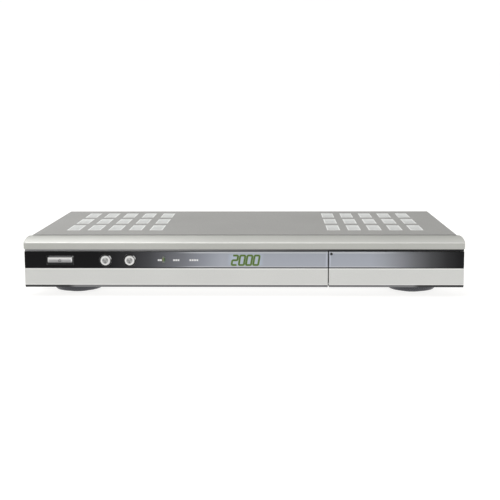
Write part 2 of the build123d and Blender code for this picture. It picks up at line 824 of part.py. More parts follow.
# ==== Light guide of the power lamp, display and infrared receiver ====
with BuildPart() as power_light_guide:
    with BuildSketch(facing(fascia_y - lamp_proud, lamp_x, button_z + lamp_raise)):
        RectangleRounded(lamp_width, lamp_height, lamp_corner)
    extrude(amount=-(front_board_y - fascia_y + lamp_proud))
power_light_guide.part.label = "power_light_guide"

display_front_y = web_front_y + fit_gap + segment_depth
with BuildPart() as display_module:
    with BuildSketch(facing(display_front_y, display_x, display_z)):
        Rectangle(display_width, display_height)
    extrude(amount=-(front_board_y - display_front_y))
display_module.part.label = "display_module"

# Seven-segment digits showing 2000; each bar leans with the digit
lit_segments = {"2": "abged", "0": "abcdef"}
with BuildPart() as display_segments:
    half_bar = segment_width / 2
    half_h = digit_height / 2 - half_bar
    half_w = digit_width / 2 - half_bar
    lean = math.tan(math.radians(digit_slant))
    bars = {
        "a": ((-half_w, half_h), (half_w, half_h)),
        "b": ((half_w, 0), (half_w, half_h)),
        "c": ((half_w, -half_h), (half_w, 0)),
        "d": ((-half_w, -half_h), (half_w, -half_h)),
        "e": ((-half_w, -half_h), (-half_w, 0)),
        "f": ((-half_w, 0), (-half_w, half_h)),
        "g": ((-half_w, 0), (half_w, 0)),
    }
    for place, digit in enumerate("2000"):
        digit_x = display_x + (place - 1.5) * digit_pitch
        with BuildSketch(facing(display_front_y - segment_depth, digit_x, display_z)):
            for name in lit_segments[digit]:
                (x0, z0), (x1, z1) = bars[name]
                if z0 == z1:
                    trim_x = -half_bar - segment_gap
                    trim_z = half_bar
                else:
                    trim_x = half_bar
                    trim_z = -segment_gap
                corners = [
                    (x0 - trim_x, z0 - trim_z),
                    (x1 + trim_x, z0 - trim_z),
                    (x1 + trim_x, z1 + trim_z),
                    (x0 - trim_x, z1 + trim_z),
                ]
                Polygon(*[(x + z * lean, z) for x, z in corners], align=None)
        extrude(amount=-segment_depth)
display_segments.part.label = "display_segments"

with BuildPart() as infrared_receiver:
    receiver_depth = (front_board_y - web_back_y - running_gap) / 2
    with BuildSketch(facing(web_back_y + running_gap, receiver_x, button_z)):
        Circle(receiver_radius)
    extrude(amount=-receiver_depth)
    fillet(infrared_receiver.faces().sort_by(Axis.Y)[0].edges(), receiver_dome)
    with BuildSketch(facing(front_board_y, receiver_x, button_z)):
        Rectangle(receiver_body_width, receiver_body_height)
    extrude(amount=receiver_depth)
infrared_receiver.part.label = "infrared_receiver"

# ==== Front board, upright behind the fascia ====
with BuildPart() as front_board:
    with BuildSketch(facing(front_board_y)):
        span(
            wall + front_board_margin - fascia_half,
            window_right_x - wall - front_board_gap,
            front_board_bottom_z,
            front_board_bottom_z + front_board_height,
        )
        with Locations(*front_screws):
            Circle(screw_radius + screw_hole_gap, mode=Mode.SUBTRACT)
    extrude(amount=-board_thickness)
front_board.part.label = "front_board"

# ==== Chassis tray: folded steel floor, side walls and front flange ====
with BuildPart() as chassis_tray:
    with BuildSketch(Plane.XY.offset(foot_height)):
        span(-tray_half, tray_half, cover_front_y, panel_outer_y)
    extrude(amount=sheet)
    with BuildSketch(Plane.XY.offset(tray_floor_z)):
        for side in (-1, 1):
            span(side * tray_half, side * (tray_half - sheet), cover_front_y, panel_inner_y)
    extrude(amount=tray_wall_height)
    with BuildSketch(Plane.XY.offset(tray_floor_z)):
        span(-tray_half, tray_half, cover_front_y, cover_front_y + sheet)
    extrude(amount=cover_inner_z - fit_gap - tray_floor_z)
    # Pressed bosses under the boards
    with BuildSketch(Plane.XY.offset(tray_floor_z)):
        with Locations(*main_screws, *psu_screws):
            Circle(boss_radius)
    extrude(amount=board_lift)
    with BuildSketch(Plane.XY.offset(board_bottom_z)):
        with Locations(*main_screws, *psu_screws):
            Circle(screw_radius + screw_hole_gap)
    extrude(amount=-board_lift - sheet, mode=Mode.SUBTRACT)
    # Screw holes of the feet, and cooling slots under the power supply
    with BuildSketch(Plane.XY.offset(tray_floor_z)):
        with Locations(*foot_places):
            Circle(foot_screw_radius + screw_hole_gap)
        with Locations((psu_middle_x, psu_front_y + tray_slot_inset)):
            with GridLocations(tray_slot_pitch_x, tray_slot_pitch_y, 2, 4):
                SlotOverall(tray_slot_length, tray_slot_width)
    extrude(amount=-sheet, mode=Mode.SUBTRACT)
    # Openings of the front flange: card slots, ejectors and ribbon cable
    with BuildSketch(facing(cover_front_y)):
        span(
            card_x - cage_half - cage_clearance,
            eject_x + guide_width / 2 + cage_clearance,
            board_bottom_z,
            cage_top_z + cage_clearance,
        )
        with Locations((ribbon_x, ribbon_z)):
            Rectangle(ribbon_width + 4 * header_margin, 2 * ribbon_drop)
    extrude(amount=-sheet, mode=Mode.SUBTRACT)
    # Holes for the cover screws
    with BuildSketch(Plane.YZ.offset(-tray_half)):
        with Locations(*side_screws):
            Circle(screw_radius + screw_hole_gap)
    extrude(amount=2 * tray_half, mode=Mode.SUBTRACT)
chassis_tray.part.label = "chassis_tray"

# ==== Top cover: one sheet folded down at both sides, with a lip over the rear panel ====
with BuildPart() as top_cover:
    with BuildSketch(facing(cover_front_y + fit_gap)):
        span(-cover_half, cover_half, foot_height, cover_top_z)
        span(sheet - cover_half, cover_half - sheet, foot_height, cover_inner_z, mode=Mode.SUBTRACT)
    extrude(amount=-(cover_depth - fit_gap))
    outer_folds = top_cover.edges().filter_by(Axis.Y).group_by(Axis.Z)[-1]
    fillet(outer_folds, fold_radius)
    inner_folds = top_cover.edges().filter_by(Axis.Y).group_by(Axis.Z)[-2]
    fillet(inner_folds, fold_radius - sheet)
    lip_half = cover_half - sheet - fit_gap
    with BuildSketch(facing(rear_y)):
        span(-lip_half, lip_half, cover_inner_z - lip_height, cover_inner_z)
    extrude(amount=sheet)
    with BuildSketch(Plane.XY.offset(cover_top_z)):
        for side in (-1, 1):
            with Locations((side * vent_group_x, vent_group_y)):
                with GridLocations(vent_pitch_x, vent_pitch_y, vent_columns, vent_rows):
                    Rectangle(vent_width, vent_depth)
    extrude(amount=-sheet, mode=Mode.SUBTRACT)
    with BuildSketch(Plane.YZ.offset(-cover_half)):
        with Locations(*side_screws):
            Circle(screw_radius + screw_hole_gap)
    extrude(amount=2 * cover_half, mode=Mode.SUBTRACT)
    with BuildSketch(facing(rear_y)):
        with Locations(*rear_screws):
            Circle(screw_radius + screw_hole_gap)
    extrude(amount=sheet, mode=Mode.SUBTRACT)
top_cover.part.label = "top_cover"

# Light slotted grilles fixed under the two groups of windows
with BuildPart() as vent_grilles:
    slot_pitch = grille_slat + grille_slot
    slot_count = int((grille_depth - grille_slat) / slot_pitch)
    with BuildSketch(Plane.XY.offset(cover_inner_z)):
        for side in (-1, 1):
            with Locations((side * vent_group_x, vent_group_y)):
                Rectangle(grille_width, grille_depth)
                with GridLocations(1, slot_pitch, 1, slot_count):
                    Rectangle(grille_width - 2 * grille_slat, grille_slot, mode=Mode.SUBTRACT)
    extrude(amount=-grille_thickness)
vent_grilles.part.label = "vent_grilles"


# ==== Rear panel ====
def scart_outline(grow):
    """D-shaped face of the socket, in the sketch being drawn, widened all round."""
    half_w = scart_width / 2 + grow
    half_h = scart_height / 2 + grow
    Polygon(
        (-half_w, -half_h),
        (half_w - scart_slant, -half_h),
        (half_w, -half_h + 1.5 * scart_slant),
        (half_w, half_h),
        (-half_w, half_h),
        align=None,
    )


def serial_outline(grow):
    """D-shaped face of the serial port, in the sketch being drawn, widened all round."""
    Trapezoid(serial_width + 2 * grow, serial_height + 2 * grow, serial_flare, rotation=180)


with BuildPart() as rear_panel:
    with BuildSketch(facing(panel_outer_y)):
        span(-tray_half, tray_half, tray_floor_z, cover_inner_z - fit_gap)
        with Locations(*[(x, aerial_z) for x in aerial_places]):
            Circle(aerial_collar + fit_gap, mode=Mode.SUBTRACT)
        with Locations(*[(x, rca_z) for x in rca_places]):
            Circle(rca_collar + fit_gap, mode=Mode.SUBTRACT)
        with Locations((serial_x, serial_z)):
            Rectangle(
                serial_width + 2 * serial_opening,
                serial_height + 2 * serial_opening,
                mode=Mode.SUBTRACT,
            )
        with Locations((inlet_x, inlet_z)):
            Rectangle(
                inlet_width + 2 * (inlet_wall + fit_gap),
                inlet_height + 2 * (inlet_wall + fit_gap),
                mode=Mode.SUBTRACT,
            )
        with Locations((rocker_x, rocker_z)):
            Rectangle(
                rocker_body_width + 2 * fit_gap,
                rocker_body_height + 2 * fit_gap,
                mode=Mode.SUBTRACT,
            )
        with Locations(*rear_screws, *[(x, serial_z) for x in serial_posts]):
            Circle(screw_radius + screw_hole_gap, mode=Mode.SUBTRACT)
    extrude(amount=sheet)
    for socket_x in (scart_tv_x, scart_recorder_x):
        with BuildSketch(facing(panel_outer_y, socket_x, scart_z)):
            scart_outline(scart_wall + fit_gap)
        extrude(amount=sheet, mode=Mode.SUBTRACT)
    # Foot of the panel, folded forward onto the floor of the tray
    foot_half = tray_half - sheet - fit_gap
    with BuildSketch(Plane.XY.offset(tray_floor_z)):
        span(-foot_half, foot_half, panel_inner_y - lip_height, panel_inner_y)
    extrude(amount=sheet)
rear_panel.part.label = "rear_panel"

# ==== Screws of the cover ====
with BuildPart() as cover_screws:
    for side in (-1, 1):
        head_plane = Plane.YZ.offset(side * cover_half)
        with BuildSketch(head_plane):
            with Locations(*side_screws):
                Circle(screw_head_radius)
        extrude(amount=side * screw_head_height)
        with BuildSketch(head_plane):
            with Locations(*side_screws):
                Circle(screw_radius)
        extrude(amount=-side * cover_screw_length)
    with BuildSketch(facing(rear_y)):
        with Locations(*rear_screws):
            Circle(screw_head_radius)
    extrude(amount=-screw_head_height)
    with BuildSketch(facing(rear_y)):
        with Locations(*rear_screws):
            Circle(screw_radius)
    extrude(amount=cover_screw_length)
    faces = cover_screws.faces()
    side_heads = faces.sort_by(Axis.X)[:2] + faces.sort_by(Axis.X)[-2:]
    rear_heads = faces.sort_by(Axis.Y)[-len(rear_screws):]
    chamfer([edge for face in side_heads + rear_heads for edge in face.edges()], screw_head_edge)
cover_screws.part.label = "cover_screws"

# ==== Feet: moulded bowls with a rubber pad and a screw up the middle ====
with BuildPart() as feet:
    for foot_px, foot_py in foot_places:
        with BuildSketch(Plane.XZ.offset(-foot_py)):
            with BuildLine():
                rim_x = foot_px + foot_radius
                Polyline(
                    (rim_x, foot_height - foot_waist),
                    (rim_x, foot_height),
                    (foot_px, foot_height),
                    (foot_px, pad_proud),
                    (rim_x - foot_taper, pad_proud),
                )
                EllipticalCenterArc(
                    (rim_x - foot_taper, foot_height - foot_waist),
                    foot_taper,
                    foot_height - foot_waist - pad_proud,
                    start_angle=-90,
                    arc_size=90,
                )
            make_face()
        revolve(axis=Axis((foot_px, foot_py, 0), (0, 0, 1)))
    with BuildSketch(Plane.XY.offset(pad_proud)):
        with Locations(*foot_places):
            Circle(pad_radius + fit_gap)
    extrude(amount=pad_thickness - pad_proud, mode=Mode.SUBTRACT)
    with BuildSketch(Plane.XY.offset(pad_proud)):
        with Locations(*foot_places):
            Circle(screw_head_radius + screw_hole_gap)
    extrude(amount=pad_thickness - pad_proud + screw_head_height, mode=Mode.SUBTRACT)
    with BuildSketch(Plane.XY.offset(pad_proud)):
        with Locations(*foot_places):
            Circle(foot_screw_radius + screw_hole_gap)
    extrude(amount=foot_height, mode=Mode.SUBTRACT)
feet.part.label = "feet"

with BuildPart() as foot_pads:
    with BuildSketch(Plane.XY):
        with Locations(*foot_places):
            Circle(pad_radius)
            Circle(screw_head_radius + pad_hole_gap, mode=Mode.SUBTRACT)
    extrude(amount=pad_thickness)
foot_pads.part.label = "foot_pads"

with BuildPart() as foot_screws:
    with BuildSketch(Plane.XY.offset(pad_thickness)):
        with Locations(*foot_places):
            Circle(screw_head_radius)
    extrude(amount=screw_head_height)
    with BuildSketch(Plane.XY.offset(pad_thickness)):
        with Locations(*foot_places):
            Circle(foot_screw_radius)
    extrude(amount=foot_height - pad_thickness + sheet + foot_screw_end)
foot_screws.part.label = "foot_screws"

# ==== Main board and power supply board ====
with BuildPart() as main_board:
    with BuildSketch(Plane.XY.offset(board_bottom_z)):
        span(main_left_x, main_right_x, main_front_y, board_rear_y)
        with Locations(*main_screws):
            Circle(screw_radius + screw_hole_gap, mode=Mode.SUBTRACT)
    extrude(amount=board_thickness)
main_board.part.label = "main_board"

with BuildPart() as psu_board:
    with BuildSketch(Plane.XY.offset(board_bottom_z)):
        span(psu_left_x, psu_right_x, psu_front_y, board_rear_y)
        with Locations(*psu_screws):
            Circle(screw_radius + screw_hole_gap, mode=Mode.SUBTRACT)
    extrude(amount=board_thickness)
psu_board.part.label = "psu_board"

with BuildPart() as board_screws:
    with BuildSketch(Plane.XY.offset(board_top_z)):
        with Locations(*main_screws, *psu_screws):
            Circle(screw_head_radius)
    extrude(amount=screw_head_height)
    with BuildSketch(Plane.XY.offset(board_top_z)):
        with Locations(*main_screws, *psu_screws):
            Circle(screw_radius)
    extrude(amount=-board_thickness - board_lift)
    with BuildSketch(facing(front_board_back_y)):
        with Locations(*front_screws):
            Circle(screw_head_radius)
    extrude(amount=-screw_head_height / 2)
    with BuildSketch(facing(front_board_back_y)):
        with Locations(*front_screws):
            Circle(screw_radius - screw_hole_gap)
    extrude(amount=front_board_back_y - web_back_y - fit_gap)
board_screws.part.label = "board_screws"

# ==== Tuner and aerial connectors ====
tuner_back_y = panel_inner_y - fit_gap
tuner_lid_z = board_top_z + tuner_height
with BuildPart() as tuner_can:
    with BuildSketch(Plane.XY.offset(board_top_z)):
        span(tuner_x - tuner_width / 2, tuner_x + tuner_width / 2, tuner_back_y - tuner_depth, tuner_back_y)
    extrude(amount=tuner_height)
    fillet(tuner_can.edges().filter_by(Axis.Z), tuner_corner)
    # Pressed lid, with a hole over each trimmer
    with BuildSketch(Plane.XY.offset(tuner_lid_z)):
        with Locations((tuner_x, tuner_back_y - tuner_depth / 2)):
            Rectangle(tuner_width - 2 * tuner_lid_inset, tuner_depth - 2 * tuner_lid_inset)
    extrude(amount=tuner_lid_height)
    with BuildSketch(Plane.XY.offset(tuner_lid_z + tuner_lid_height)):
        with Locations((tuner_x, tuner_back_y - tuner_depth / 2)):
            with GridLocations(trimmer_pitch_x, trimmer_pitch_y, 3, 2):
                Circle(trimmer_radius)
    extrude(amount=-trimmer_depth, mode=Mode.SUBTRACT)
tuner_can.part.label = "tuner_can"


def aerial_connector(x):
    """Threaded coaxial socket that stands out through the rear panel."""
    with BuildPart() as connector:
        with BuildSketch(facing(tuner_back_y, x, aerial_z)):
            Circle(aerial_collar)
        extrude(amount=-(panel_outer_y + nut_height - tuner_back_y))
        with BuildSketch(facing(panel_outer_y + nut_height, x, aerial_z)):
            Circle(aerial_radius)
        extrude(amount=-(rear_y + connector_reach - panel_outer_y - nut_height))
        chamfer(connector.faces().sort_by(Axis.Y)[-1].edges(), aerial_tip)
        with BuildSketch(facing(rear_y + connector_reach, x, aerial_z)):
            Circle(aerial_bore)
        extrude(amount=connector_reach - aerial_floor, mode=Mode.SUBTRACT)
    return connector


lnb_input = aerial_connector(aerial_places[1])
lnb_input.part.label = "lnb_input"
lnb_loop_output = aerial_connector(aerial_places[0])
lnb_loop_output.part.label = "lnb_loop_output"

with BuildPart() as connector_nuts:
    for nut_x in aerial_places:
        with BuildSketch(facing(panel_outer_y, nut_x, aerial_z)):
            RegularPolygon(nut_flats / 2, 6, major_radius=False)
            Circle(aerial_collar + pin_gap, mode=Mode.SUBTRACT)
        extrude(amount=-nut_height)
    for post_x in serial_posts:
        with BuildSketch(facing(panel_outer_y, post_x, serial_z)):
            RegularPolygon(post_flats / 2, 6, major_radius=False)
        extrude(amount=-post_length)
        with BuildSketch(facing(panel_outer_y, post_x, serial_z)):
            Circle(screw_radius)
        extrude(amount=post_root)
connector_nuts.part.label = "connector_nuts"


# ==== Sockets on the rear edge of the main board ====
def scart_socket(x):
    """Twenty-one pole socket: a moulded block with a D-shaped groove for the plug's shell."""
    with BuildPart() as socket:
        with BuildSketch(facing(panel_inner_y - fit_gap, x, scart_z)):
            Rectangle(scart_body_width, 2 * socket_lift)
        extrude(amount=scart_body_depth)
        with BuildSketch(facing(panel_inner_y - fit_gap, x, scart_z)):
            scart_outline(scart_wall)
        extrude(amount=-(2 * fit_gap + sheet + scart_proud))
        mouth_y = panel_outer_y + scart_proud + fit_gap
        with BuildSketch(facing(mouth_y, x, scart_z)):
            scart_outline(0)
        extrude(amount=scart_mouth_depth, mode=Mode.SUBTRACT)
        with BuildSketch(facing(mouth_y - scart_mouth_depth, x, scart_z)):
            scart_outline(-scart_groove)
        extrude(amount=-scart_core_length)
    return socket


scart_tv = scart_socket(scart_tv_x)
scart_tv.part.label = "scart_tv"
scart_recorder = scart_socket(scart_recorder_x)
scart_recorder.part.label = "scart_recorder"

with BuildPart() as rca_block:
    with BuildSketch(facing(panel_inner_y - fit_gap, rca_x, rca_z)):
        Rectangle(rca_block_width, 2 * socket_lift)
    extrude(amount=rca_block_depth)
    with BuildSketch(facing(panel_inner_y - fit_gap)):
        with Locations(*[(x, rca_z) for x in rca_places]):
            Circle(rca_radius - rca_tube - pin_gap)
    extrude(amount=-(fit_gap + sheet + rca_reach - rca_core_setback))
    with BuildSketch(facing(panel_outer_y + rca_reach)):
        with Locations(*[(x, rca_z) for x in rca_places]):
            Circle(rca_bore)
    extrude(amount=rca_reach, mode=Mode.SUBTRACT)
rca_block.part.label = "rca_block"

with BuildPart() as rca_sleeves:
    with BuildSketch(facing(panel_inner_y - fit_gap)):
        with Locations(*[(x, rca_z) for x in rca_places]):
            Circle(rca_collar)
    extrude(amount=-(fit_gap + sheet + rca_collar_proud))
    with BuildSketch(facing(panel_outer_y + rca_collar_proud)):
        with Locations(*[(x, rca_z) for x in rca_places]):
            Circle(rca_radius)
    extrude(amount=-(rca_reach - rca_collar_proud))
    with BuildSketch(facing(panel_inner_y - fit_gap)):
        with Locations(*[(x, rca_z) for x in rca_places]):
            Circle(rca_radius - rca_tube)
    extrude(amount=-(fit_gap + sheet + rca_reach), mode=Mode.SUBTRACT)
rca_sleeves.part.label = "rca_sleeves"

with BuildPart() as serial_port:
    with BuildSketch(facing(panel_inner_y - fit_gap)):
        with Locations((serial_x, serial_z)):
            Rectangle(serial_flange_width, 2 * serial_lift)
        with Locations(*[(x, serial_z) for x in serial_posts]):
            Circle(screw_radius + screw_hole_gap, mode=Mode.SUBTRACT)
    extrude(amount=serial_body_depth)
    with BuildSketch(facing(panel_inner_y - fit_gap, serial_x, serial_z)):
        serial_outline(0)
    extrude(amount=-(fit_gap + sheet + serial_proud))
    fillet(serial_port.edges().filter_by(Axis.Y).group_by(Axis.Y)[-1], serial_corner)
serial_port.part.label = "serial_port"

# ==== Mains inlet and mains switch ====
with BuildPart() as mains_inlet:
    with BuildSketch(facing(inlet_mouth_y, inlet_x, inlet_z)):
        RectangleRounded(inlet_width + 2 * inlet_wall, inlet_height + 2 * inlet_wall, inlet_corner)
    extrude(amount=inlet_depth + inlet_wall)
    with BuildSketch(facing(inlet_mouth_y, inlet_x, inlet_z)):
        SlotOverall(inlet_width, inlet_height)
    extrude(amount=inlet_depth, mode=Mode.SUBTRACT)
    with BuildSketch(facing(inlet_mouth_y - inlet_depth, inlet_x, inlet_z)):
        with GridLocations(inlet_pin_pitch, 1, 2, 1):
            Circle(inlet_pin_radius)
    extrude(amount=inlet_wall, mode=Mode.SUBTRACT)
    # Foot that seats on the board
    with BuildSketch(Plane.XY.offset(board_top_z)):
        span(
            inlet_x - inlet_width / 2,
            inlet_x + inlet_width / 2,
            inlet_mouth_y - inlet_depth - inlet_wall,
            board_rear_y,
        )
    extrude(amount=inlet_lift - inlet_height / 2 - inlet_wall)
mains_inlet.part.label = "mains_inlet"

with BuildPart() as mains_inlet_pins:
    with BuildSketch(facing(inlet_mouth_y - inlet_pin_setback, inlet_x, inlet_z)):
        with GridLocations(inlet_pin_pitch, 1, 2, 1):
            Circle(inlet_pin_radius)
    extrude(amount=inlet_depth + inlet_wall - inlet_pin_setback + inlet_pin_tail)
mains_inlet_pins.part.label = "mains_inlet_pins"

with BuildPart() as mains_switch_body:
    with BuildSketch(facing(rocker_face_y, rocker_x, rocker_z)):
        RectangleRounded(
            rocker_body_width + 2 * rocker_flange,
            rocker_body_height + 2 * rocker_flange,
            rocker_corner,
        )
    extrude(amount=rocker_frame)
    with BuildSketch(facing(panel_outer_y, rocker_x, rocker_z)):
        Rectangle(rocker_body_width, rocker_body_height)
    extrude(amount=rocker_body_depth)
    with BuildSketch(facing(rocker_face_y, rocker_x, rocker_z)):
        Rectangle(rocker_width + 2 * running_gap, rocker_opening)
    extrude(amount=rocker_body_depth - rocker_body_wall, mode=Mode.SUBTRACT)
    with BuildSketch(Plane.YZ.offset(rocker_x - rocker_body_width)):
        with Locations((rocker_axis_y, rocker_z)):
            Circle(rocker_pin_radius + pin_gap)
    extrude(amount=2 * rocker_body_width, mode=Mode.SUBTRACT)
mains_switch_body.part.label = "mains_switch_body"

# Rocker: a drum with two flats meeting at the middle, tipped to its on position
with BuildPart() as mains_rocker:
    with BuildSketch(Plane.YZ.offset(rocker_x - rocker_width / 2)):
        with Locations((rocker_axis_y, rocker_z)):
            Circle(rocker_radius)
        flat_rise = rocker_radius * math.tan(math.radians(rocker_tilt))
        Polygon(
            (rocker_face_y, rocker_z),
            (rocker_face_y + flat_rise, rocker_z + rocker_radius),
            (rocker_face_y + 3 * rocker_radius, rocker_z + rocker_radius),
            (rocker_face_y + 3 * rocker_radius, rocker_z - rocker_radius),
            (rocker_face_y + flat_rise, rocker_z - rocker_radius),
            align=None,
            mode=Mode.SUBTRACT,
        )
        span(
            rocker_axis_y - 2 * rocker_radius,
            rocker_axis_y - rocker_radius / 2,
            rocker_z - rocker_radius,
            rocker_z + rocker_radius,
            mode=Mode.SUBTRACT,
        )
    extrude(amount=rocker_width)
    pin_half = rocker_body_width / 2 - running_gap
    with BuildSketch(Plane.YZ.offset(rocker_x - pin_half)):
        with Locations((rocker_axis_y, rocker_z)):
            Circle(rocker_pin_radius)
    extrude(amount=2 * pin_half)
mains_rocker.part = mains_rocker.part.rotate(
    Axis((rocker_x, rocker_axis_y, rocker_z), (1, 0, 0)), -rocker_tilt
)
mains_rocker.part.label = "mains_rocker"

# ==== Power supply ====
with BuildPart() as primary_capacitor:
    with BuildSketch(Plane.XY.offset(board_top_z)):
        with Locations((psu_left_x + primary_inset_x, psu_front_y + primary_inset_y)):
            Circle(primary_radius)
    extrude(amount=primary_height)
    chamfer(primary_capacitor.faces().sort_by(Axis.Z)[-1].edges(), can_edge)
primary_capacitor.part.label = "primary_capacitor"

with BuildPart() as transformer:
    transformer_y = psu_front_y + transformer_inset_y
    core_bottom_z = board_top_z + bobbin_height
    core_top_z = core_bottom_z + core_height
    core_y = (transformer_y - core_depth / 2, transformer_y + core_depth / 2)
    left_x = psu_middle_x - core_width / 2
    right_x = psu_middle_x + core_width / 2
    block(
        (psu_middle_x - bobbin_width / 2, psu_middle_x + bobbin_width / 2),
        (transformer_y - bobbin_depth / 2, transformer_y + bobbin_depth / 2),
        (board_top_z, core_bottom_z),
    )
    block((left_x, left_x + core_limb), core_y, (core_bottom_z, core_top_z))
    block((right_x - core_limb, right_x), core_y, (core_bottom_z, core_top_z))
    block((left_x, right_x), core_y, (core_top_z - core_yoke, core_top_z))
    with BuildSketch(Plane.XY.offset(core_bottom_z)):
        with Locations((psu_middle_x, transformer_y)):
            RectangleRounded(winding_width, winding_depth, winding_corner)
    extrude(amount=core_height - core_yoke)
transformer.part.label = "transformer"

with BuildPart() as psu_heatsink:
    sink_x = psu_middle_x + sink_offset
    sink_y = psu_front_y + sink_inset_y + sink_length / 2
    with BuildSketch(Plane.XY.offset(board_top_z)):
        span(sink_x, sink_x + sink_plate, sink_y - sink_length / 2, sink_y + sink_length / 2)
        with Locations((sink_x + sink_plate + sink_fin_reach / 2, sink_y)):
            with GridLocations(1, sink_fin_pitch, 1, sink_fins):
                Rectangle(sink_fin_reach, sink_fin)
    extrude(amount=sink_height)
    # Power transistor clamped to the plate
    block(
        (sink_x - transistor_depth, sink_x),
        (sink_y - transistor_width / 2, sink_y + transistor_width / 2),
        (board_top_z + transistor_lift, board_top_z + transistor_lift + transistor_height),
    )
psu_heatsink.part.label = "psu_heatsink"

with BuildPart() as line_filter:
    filter_x = psu_left_x + filter_inset_x
    filter_y = psu_front_y + filter_inset_y
    with BuildSketch(Plane.XY.offset(board_top_z)):
        with Locations((filter_x, filter_y)):
            RectangleRounded(filter_base_width, filter_base_depth, filter_base_corner)
    extrude(amount=filter_base_height)
    with BuildSketch(Plane.YZ.offset(filter_x - filter_length / 2)):
        with Locations((filter_y, board_top_z + filter_base_height + filter_radius)):
            Circle(filter_radius)
            Circle(filter_bore, mode=Mode.SUBTRACT)
    extrude(amount=filter_length)
line_filter.part.label = "line_filter"

with BuildPart() as fuse:
    fuse_x = psu_left_x + fuse_inset_x
    fuse_y = psu_front_y + fuse_inset_y
    fuse_z = board_top_z + fuse_lift
    with BuildSketch(facing(fuse_y + fuse_length / 2, fuse_x, fuse_z)):
        Circle(fuse_radius)
    extrude(amount=fuse_length)
    clip_reach = fuse_length / 2 - fuse_clip_length
    for clip_y in (fuse_y - clip_reach, fuse_y + clip_reach):
        block(
            (fuse_x - fuse_clip_width / 2, fuse_x + fuse_clip_width / 2),
            (clip_y - fuse_clip_length / 2, clip_y + fuse_clip_length / 2),
            (board_top_z, fuse_z + fuse_radius / 2),
        )
fuse.part.label = "fuse"

# ==== Parts on the main board ====
chip_x = main_left_x + processor_inset_x
chip_y = main_front_y + processor_inset_y
with BuildPart() as board_chips:
    with BuildSketch(Plane.XY.offset(board_top_z)):
        with Locations((chip_x, chip_y)):
            Rectangle(processor_size, processor_size)
        memory_places = [
            (chip_x - memory_offset_x, chip_y + memory_offset_y),
            (chip_x - memory_offset_x, chip_y - memory_offset_y),
            (chip_x + memory_offset_x, chip_y - memory_offset_y),
        ]
        with Locations(*memory_places):
            Rectangle(memory_width, memory_length)
        with Locations((chip_x + codec_offset_x, chip_y + codec_offset_y)):
            Rectangle(codec_width, codec_depth)
    extrude(amount=chip_height)
board_chips.part.label = "board_chips"

with BuildPart() as processor_heatsink:
    cooler_z = board_top_z + chip_height
    with BuildSketch(Plane.XY.offset(cooler_z)):
        with Locations((chip_x, chip_y)):
            Rectangle(cooler_size, cooler_size)
    extrude(amount=cooler_base)
    with BuildSketch(Plane.XY.offset(cooler_z + cooler_base)):
        with Locations((chip_x, chip_y)):
            with GridLocations((cooler_size - cooler_fin) / (cooler_fins - 1), 1, cooler_fins, 1):
                Rectangle(cooler_fin, cooler_size)
    extrude(amount=cooler_height - cooler_base)
processor_heatsink.part.label = "processor_heatsink"

with BuildPart() as small_capacitors:
    output_places = [
        (psu_right_x - output_can_inset_x, psu_front_y + output_can_inset_y + output_can_pitch * i)
        for i in range(output_can_count)
    ]
    logic_places = [
        (main_left_x + logic_can_inset_x + logic_can_pitch * i, main_front_y + logic_can_inset_y)
        for i in range(logic_can_count)
    ]
    with BuildSketch(Plane.XY.offset(board_top_z)):
        with Locations(*output_places):
            Circle(output_can_radius)
    extrude(amount=output_can_height)
    with BuildSketch(Plane.XY.offset(board_top_z)):
        with Locations(*logic_places):
            Circle(logic_can_radius)
    extrude(amount=logic_can_height)
small_capacitors.part.label = "small_capacitors"

# ==== Internal cables: a ribbon to the front board and a flat lead from the power supply ====
with BuildPart() as cable_headers:
    header_half = ribbon_width / 2 + header_margin
    with BuildSketch(facing(front_board_back_y, ribbon_x, ribbon_z)):
        Rectangle(2 * header_half, header_width)
    extrude(amount=-header_thickness)
    block(
        (ribbon_x - header_half, ribbon_x + header_half),
        (ribbon_down_y - header_width / 2, ribbon_down_y + header_width / 2),
        (board_top_z, header_top_z),
    )
    power_half = power_cable_width / 2 + header_margin
    for header_x in (power_from_x, power_to_x):
        block(
            (header_x - header_width / 2, header_x + header_width / 2),
            (power_y - power_half, power_y + power_half),
            (board_top_z, header_top_z),
        )
cable_headers.part.label = "cable_headers"

with BuildPart() as ribbon_cable:
    with BuildSketch(Plane.YZ.offset(ribbon_x - ribbon_width / 2)):
        with BuildLine() as ribbon_path:
            FilletPolyline(
                (front_board_back_y + header_thickness, ribbon_z),
                (ribbon_down_y, ribbon_z),
                (ribbon_down_y, header_top_z),
                radius=ribbon_radius,
            )
        trace(ribbon_path.line, line_width=ribbon_thickness)
    extrude(amount=ribbon_width)
ribbon_cable.part.label = "ribbon_cable"

with BuildPart() as power_cable:
    with BuildSketch(facing(power_y + power_cable_width / 2)):
        with BuildLine() as power_path:
            FilletPolyline(
                (power_from_x, header_top_z),
                (power_from_x, header_top_z + power_cable_rise),
                (power_to_x, header_top_z + power_cable_rise),
                (power_to_x, header_top_z),
                radius=power_cable_radius,
            )
        trace(power_path.line, line_width=power_cable_thickness)
    extrude(amount=power_cable_width)
power_cable.part.label = "power_cable"

# ==== Card slots: a steel cage with two decks, pin headers and ejectors ====
deck_x = (card_x - card_width / 2, card_x + card_width / 2)
with BuildPart() as ci_cage:
    with BuildSketch(facing(cage_front_y)):
        span(card_x - cage_half, card_x + cage_half, board_top_z, cage_top_z)
        for deck_z in (lower_slot_z, upper_slot_z):
            span(*deck_x, deck_z, deck_z + card_height, mode=Mode.SUBTRACT)
    extrude(amount=-(card_depth + header_depth))
ci_cage.part.label = "ci_cage"

with BuildPart() as ci_pin_headers:
    for deck_z in (lower_slot_z, upper_slot_z):
        block(
            (deck_x[0] + fit_gap, deck_x[1] - fit_gap),
            (cage_back_y - header_depth, cage_back_y),
            (deck_z + fit_gap, deck_z + card_height - fit_gap),
        )
ci_pin_headers.part.label = "ci_pin_headers"

